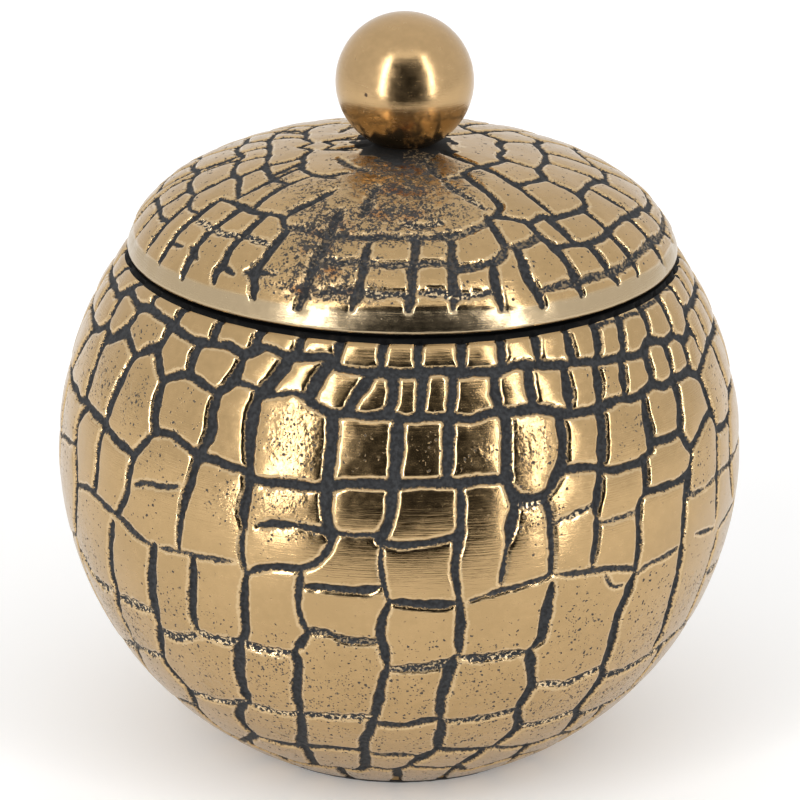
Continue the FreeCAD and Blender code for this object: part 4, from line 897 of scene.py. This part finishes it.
# More grooves behind the knob, where the front's mirror image is bare.
lid_back = [
    (2.2, 0, (159, 29), (168, 30.5), (178, 29.5), (187, 31), (192, 30.5)),
    (2.2, 0, (202, 19.5), (192, 18.5), (181, 19.5), (170, 18.5), (160, 17.5)),
    (2.2, 0, (176, 30), (175, 36), (177, 42.5)), (2.2, 0, (186, 19), (184.5, 24), (185, 30.5)),
    (2.2, 0, (170, 19), (171, 24.5), (169, 30)), (2.2, 0, (200, 20), (202, 27), (201, 33), (200, 38)),
    (2.2, 0, (192, 36), (197, 36.5), (200.5, 36)),
]

# Places where the lid is corroded and brown: turn, angle down, reach across, reach down, how badly.
lid_corroded = [
    (0, 16, 30, 9, 1.0), (0, 28, 19, 8, 1.0), (-3, 38, 22, 7, 0.9), (-20, 46, 12, 8, 1.0),
    (-21, 54, 8, 6, 1.0), (-18, 62, 9, 6, 0.95), (-18, 70, 11, 4, 1.0), (-10, 68, 6, 3, 0.9),
    (-27, 40, 10, 6, 0.8), (8, 46, 8, 5, 0.55), (-6, 46, 9, 5, 0.75), (-34, 31, 9, 6, 0.6),
    (24, 29, 7, 6, 0.55), (38, 22, 9, 5, 0.4), (-50, 33, 9, 5, 0.35), (-31, 66, 5, 5, 0.5),
    (-6, 58, 6, 4, 0.5),
]


def lid_place(turn, angle):
    turn, angle = np.radians(turn), np.radians(angle)
    level = lid_radius * np.sin(angle)
    return np.stack(np.broadcast_arrays(level * np.sin(turn), -level * np.cos(turn),
                                        dome_plane + dome_height * np.cos(angle)), -1)


lid_rows, inner_rows = 200, 60
lid_seed, scab_seed, rim_seed, wash_seed = 31, 41, 47, 53
fine_angles = np.radians(np.linspace(seat_angle, rim_angle, 2000))
steps_out = lid_radius * np.diff(np.sin(fine_angles))
steps_down = dome_height * np.diff(np.cos(fine_angles))
arc = np.concatenate([[0], np.cumsum(np.hypot(steps_out, steps_down))])
angles = np.degrees(np.interp(np.linspace(0, arc[-1], lid_rows), arc, fine_angles))
all_grooves = lid_grooves + mirrored(lid_grooves) + lid_back
skin, edge, depth, broken = cut_grooves(all_grooves, lid_place, angles, 9.0, 1.2 * MM)
cut, edge = relief(skin, edge, depth * 0.85, broken, 0.8, lid_seed)
aside = (turns[None, :] + 180) % 360 - 180
corroded = np.zeros_like(cut)
for turn, angle, across, down, badly in lid_corroded:
    near = ((aside - turn) / across) ** 2 + ((angles[:, None] - angle) / down) ** 2
    corroded = np.maximum(corroded, badly * np.exp(-near))
cut += corroded * (soft_noise(skin, 1.3 * MM, scab_seed) - 0.3).clip(0) * 0.7 * MM
scale_ends = 76.3 + 1.6 * (soft_noise(skin, 9 * MM, rim_seed) - 0.5) - 2.2 * np.exp(-((aside - 5) / 14) ** 2)
cut += 0.32 * MM * smooth_step(angles[:, None] - scale_ends, 0, 1.3)
cut += 0.5 * MM * smooth_step(angles, rim_angle - 1.2, rim_angle)[:, None]
cut -= 0.9 * MM * (smooth_step(angles, 12, 34) * smooth_step(-angles, -80, -52))[:, None]      # a full dome
cut *= smooth_step(angles, seat_angle, seat_angle + 1.5)[:, None]

slant = np.radians(angles)[:, None]
lean = np.stack([dome_height * np.sin(slant), lid_radius * np.cos(slant)])
lean /= np.linalg.norm(lean, axis=0)
dome_radius = (lid_radius * np.sin(slant) - cut * lean[0])[::-1]
dome_top = (dome_plane + dome_height * np.cos(slant) - cut * lean[1])[::-1]
inner_dome = [((lid_radius - lid_wall) * sin(a), dome_plane + (dome_height - lid_wall) * cos(a))
              for a in np.radians(np.linspace(0.5, 89, inner_rows))]
inner_dome = [(r, min(z, crown_under)) for r, z in inner_dome if boss_radius < r < spigot_bore]
lid_after = rings_between((seat_radius, seat_height), (crown_hole, seat_height), (crown_hole, crown_under),
                          (boss_radius, crown_under), gap=0.004)
lid_after += inner_dome
lid_after += rings_between((spigot_bore, inner_dome[-1][1] - 0.001), (spigot_bore, spigot_end + 0.0003),
                           (spigot_bore + 0.0003, spigot_end), (spigot_radius - 0.0005, spigot_end),
                           (spigot_radius, spigot_end + 0.0005), (spigot_radius, rim_under),
                           (lid_radius - 0.0012, rim_under))
lid_before = [(lid_radius - 0.0010, rim_under)]
lid_radii, lid_heights = whole_profile(lid_before, dome_radius, dome_top, lid_after)
lid_facing = [0] * (len(angles) + 1) + [1] * len(lid_after)
lid = turned_mesh("scaled_lid", lid_radii, lid_heights, lid_facing, closed=True)
# The black wash spreads over a ragged band round the knob's seat, widest at the front: partly wash in the
# hollow at the knob's foot, partly painted shade under the knob.
seat_wash_and_shade = 10 + 4.5 * np.exp(-(aside / 45) ** 2)
seat_noise = soft_noise(skin, 2.5 * MM, wash_seed) - 0.5
seat_wash_and_shade = (angles[:, None] - seat_wash_and_shade) * 0.6 * MM + 2.5 * MM * seat_noise
edge = np.minimum(edge, seat_wash_and_shade)
bare = 0.75 * smooth_step(angles[:, None] - scale_ends, -0.5, 1.5)
speckled = (0.75 * corroded + 0.22) * smooth_step(scale_ends - angles[:, None], 0, 3)
# painted shade round the knob's foot: full within 9 degrees of the crown, gone by 17
painted_knob_shade = smooth_step(-angles, -17, -9)[:, None] * np.ones_like(edge)
lid_notes = {"painted_knob_shade": painted_knob_shade, "bare": bare, "groove_edge": edge / MM, "broken": broken, "pitted": speckled,
             "corroded": corroded}
for name, field in lid_notes.items():
    plain = no_groove if name == "groove_edge" else 0.0
    note_on(lid, name, padded(field[::-1], lid_before, lid_after, plain))
for finish in (scale_skin, cast_inside):
    lid.data.materials.append(finish)
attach(lid, "lid")
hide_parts("lid_shell")


# Ball knob. A solid ball turned from bar, rubbed to a satin brass, with a small flat where it sits
# on the lid and a tapped hole for the screw. One small pore shows at its front.
knob_low, knob_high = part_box("ball_knob")
knob_radius = (knob_high.x - knob_low.x) / 2
knob_centre = knob_high.z - knob_radius
flat_radius = sqrt(knob_radius**2 - (knob_centre - knob_low.z) ** 2)
bottom = asin((knob_low.z - knob_centre) / knob_radius)
tapped_radius, tapped_depth = 0.0025, 0.0125
ball_rows, knob_steps = 180, 400
knob_rings = rings_between((tapped_radius, knob_low.z + tapped_depth), (tapped_radius, knob_low.z),
                           (flat_radius - 0.0004, knob_low.z), gap=0.002)
knob_rings += [(knob_radius * cos(a), knob_centre + knob_radius * sin(a))
               for a in np.linspace(bottom + 0.02, radians(89.5), ball_rows)]
knob_rings = np.array(knob_rings)
knob_radii = np.repeat(knob_rings[:, :1], knob_steps, 1)
knob_heights = np.repeat(knob_rings[:, 1:], knob_steps, 1)
knob = turned_mesh("ball_knob_turned", knob_radii, knob_heights, [0] * len(knob_rings), closed=False)
turned_brass, tree, shader, where = new_material("turned_brass")
knob_brass = colour(184, 154, 112)
brass = put(tree, "Group", {"Where": where, "Brass": knob_brass, "Marks": 1.0}, node_tree=rubbed_brass)
pore_spot = (-0.0107, -0.0164, knob_centre + 0.0002)
pore = put(tree, "VectorMath", {0: where, 1: pore_spot}, operation="DISTANCE").outputs["Value"]
pore = reckon(tree, "MULTIPLY_ADD", lumps(tree, where, 1500), 0.0004, pore)
pore = fade(tree, pore, 0.0006, 0.0009, 1.0, 0.0)
specks = fade(tree, lumps(tree, where, 520, 4, 0.62), 0.70, 0.76)
spoiled = reckon(tree, "MAXIMUM", pore, reckon(tree, "MULTIPLY", specks, 0.5))
feed(tree, shader, {
    "Base Color": tint(tree, spoiled, brass.outputs["Colour"], colour(84, 66, 48)),
    "Metallic": reckon(tree, "MULTIPLY_ADD", spoiled, -0.5, 1.0),
    "Roughness": reckon(tree, "MULTIPLY_ADD", spoiled, 0.3, brass.outputs["Roughness"]),
    "Normal": bump(tree, 0.12, 0.0002, brass.outputs["Height"]),
})
knob.data.materials.append(turned_brass)
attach(knob, "lid")
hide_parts("ball_knob")


# Knob screw and its washers. A slotted steel screw comes up through the crown from inside and holds
# the knob, over a plain washer and a split spring washer. All are zinc plated, a little dulled.
zinc, tree, shader, where = new_material("zinc_plate")
spangle = lumps(tree, where, 900, 4, 0.6)
feed(tree, shader, {
    "Base Color": tint(tree, fade(tree, spangle, 0.35, 0.65), colour(150, 152, 154), colour(190, 190, 188)),
    "Metallic": 1.0,
    "Roughness": fade(tree, spangle, 0.3, 0.7, 0.28, 0.48),
    "Normal": bump(tree, 0.1, 0.0002, spangle),
})
for name in ("knob_screw", "plain_washer", "spring_washer"):
    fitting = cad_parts[name]
    fitting.data.materials.clear()
    fitting.data.materials.append(zinc)


# Studio. A flat sheet of pale paper under the jar, soft light all round it, two tall strip lights in
# front to the left and right, and the open, darker side of the room behind the camera, with a bright
# band over it.
sheet = bpy.data.meshes.new("paper_floor")
sheet.from_pydata([(-4, -0.42, 0), (4, -0.42, 0), (4, 4, 0), (-4, 4, 0)], [], [(0, 1, 2, 3)])
floor = bpy.data.objects.new("paper_floor", sheet)
bpy.context.scene.collection.objects.link(floor)
paper, tree, shader, where = new_material("pale_paper")
seen = tree.nodes.new("ShaderNodeLightPath").outputs
mirrors = reckon(tree, "MAXIMUM", seen["Is Glossy Ray"], seen["Is Transmission Ray"])
seen = reckon(tree, "MAXIMUM", seen["Is Camera Ray"], mirrors)
far_off = put(tree, "VectorMath", {0: where}, operation="LENGTH").outputs["Value"]
far_off = fade(tree, far_off, 0.22, 0.55, 0.16, 0.28)      # whiter away from the jar, to meet the background
feed(tree, shader, {
    "Base Color": tint(tree, lumps(tree, where, 3), (0.93, 0.93, 0.93, 1), (0.95, 0.95, 0.95, 1)),
    "Roughness": 0.9,
    "Specular IOR Level": 0.1,
    "Emission Color": (1, 1, 1, 1),
    "Emission Strength": reckon(tree, "MULTIPLY", seen, far_off),
})
sheet.materials.append(paper)

room = bpy.data.worlds.new("studio_room")
bpy.context.scene.world = room
room.use_nodes = True
tree = room.node_tree
way = put(tree, "SeparateXYZ", {0: tree.nodes.new("ShaderNodeTexCoord").outputs["Generated"]}).outputs
sideways = reckon(tree, "ARCTAN2", way["X"], reckon(tree, "MULTIPLY", way["Y"], -1.0))
upward = reckon(tree, "ARCSINE", way["Z"])
opening = reckon(tree, "MULTIPLY", fade(tree, sideways, radians(-31), radians(-24)),
                 fade(tree, sideways, radians(44), radians(52), 1.0, 0.0))
lintel = reckon(tree, "MULTIPLY", opening, fade(tree, upward, radians(50), radians(54)))
lintel = reckon(tree, "MULTIPLY", lintel, fade(tree, upward, radians(60), radians(66), 1.0, 0.0))
opening = reckon(tree, "MULTIPLY", opening, fade(tree, upward, radians(48), radians(53), 1.0, 0.0))
seen = tree.nodes.new("ShaderNodeLightPath").outputs
mirrors = reckon(tree, "MAXIMUM", seen["Is Glossy Ray"], seen["Is Transmission Ray"])
room_tone = tint(tree, mirrors, (0.84, 0.84, 0.84, 1), (1, 1, 1, 1))
room_tone = tint(tree, opening, room_tone, (0.02, 0.02, 0.02, 1))
room_tone = tint(tree, lintel, room_tone, (1.7, 1.7, 1.7, 1))
room_tone = tint(tree, seen["Is Camera Ray"], room_tone, (1, 1, 1, 1))
tree.links.new(room_tone, tree.nodes["Background"].inputs["Color"])

strip_away, strip_tall, strip_height, strip_tilt = 1.2, 1.6, 0.70, radians(78)
for name, aside, wide, watts in (("strip_left", -36.5, 0.13, 9.0), ("strip_right", 45.5, 0.11, 7.6)):
    strip = bpy.data.lights.new(name, "AREA")
    strip.shape = "RECTANGLE"
    strip.size, strip.size_y = wide, strip_tall
    strip.energy = watts
    lamp = bpy.data.objects.new(name, strip)
    turned = radians(aside)
    lamp.location = (strip_away * sin(turned), -strip_away * cos(turned), strip_height)
    lamp.rotation_euler = (strip_tilt, 0, turned)
    bpy.context.scene.collection.objects.link(lamp)

lens = bpy.data.cameras.new("photo_camera")
lens.sensor_width, lens.lens = 36.0, 152.6
camera = bpy.data.objects.new("photo_camera", lens)
camera_rise, camera_roll, aim_rise = radians(21.2), radians(0.85), 0.0128
camera.location = (0, -cos(camera_rise), ball_centre + sin(camera_rise))
toward = Vector((0, 0, ball_centre + aim_rise)) - camera.location
camera.rotation_mode = "QUATERNION"
camera.rotation_quaternion = toward.to_track_quat("-Z", "Y") @ Quaternion((0, 0, 1), camera_roll)
bpy.context.scene.collection.objects.link(camera)
bpy.context.scene.camera = camera
bpy.context.scene.view_settings.view_transform = "Standard"
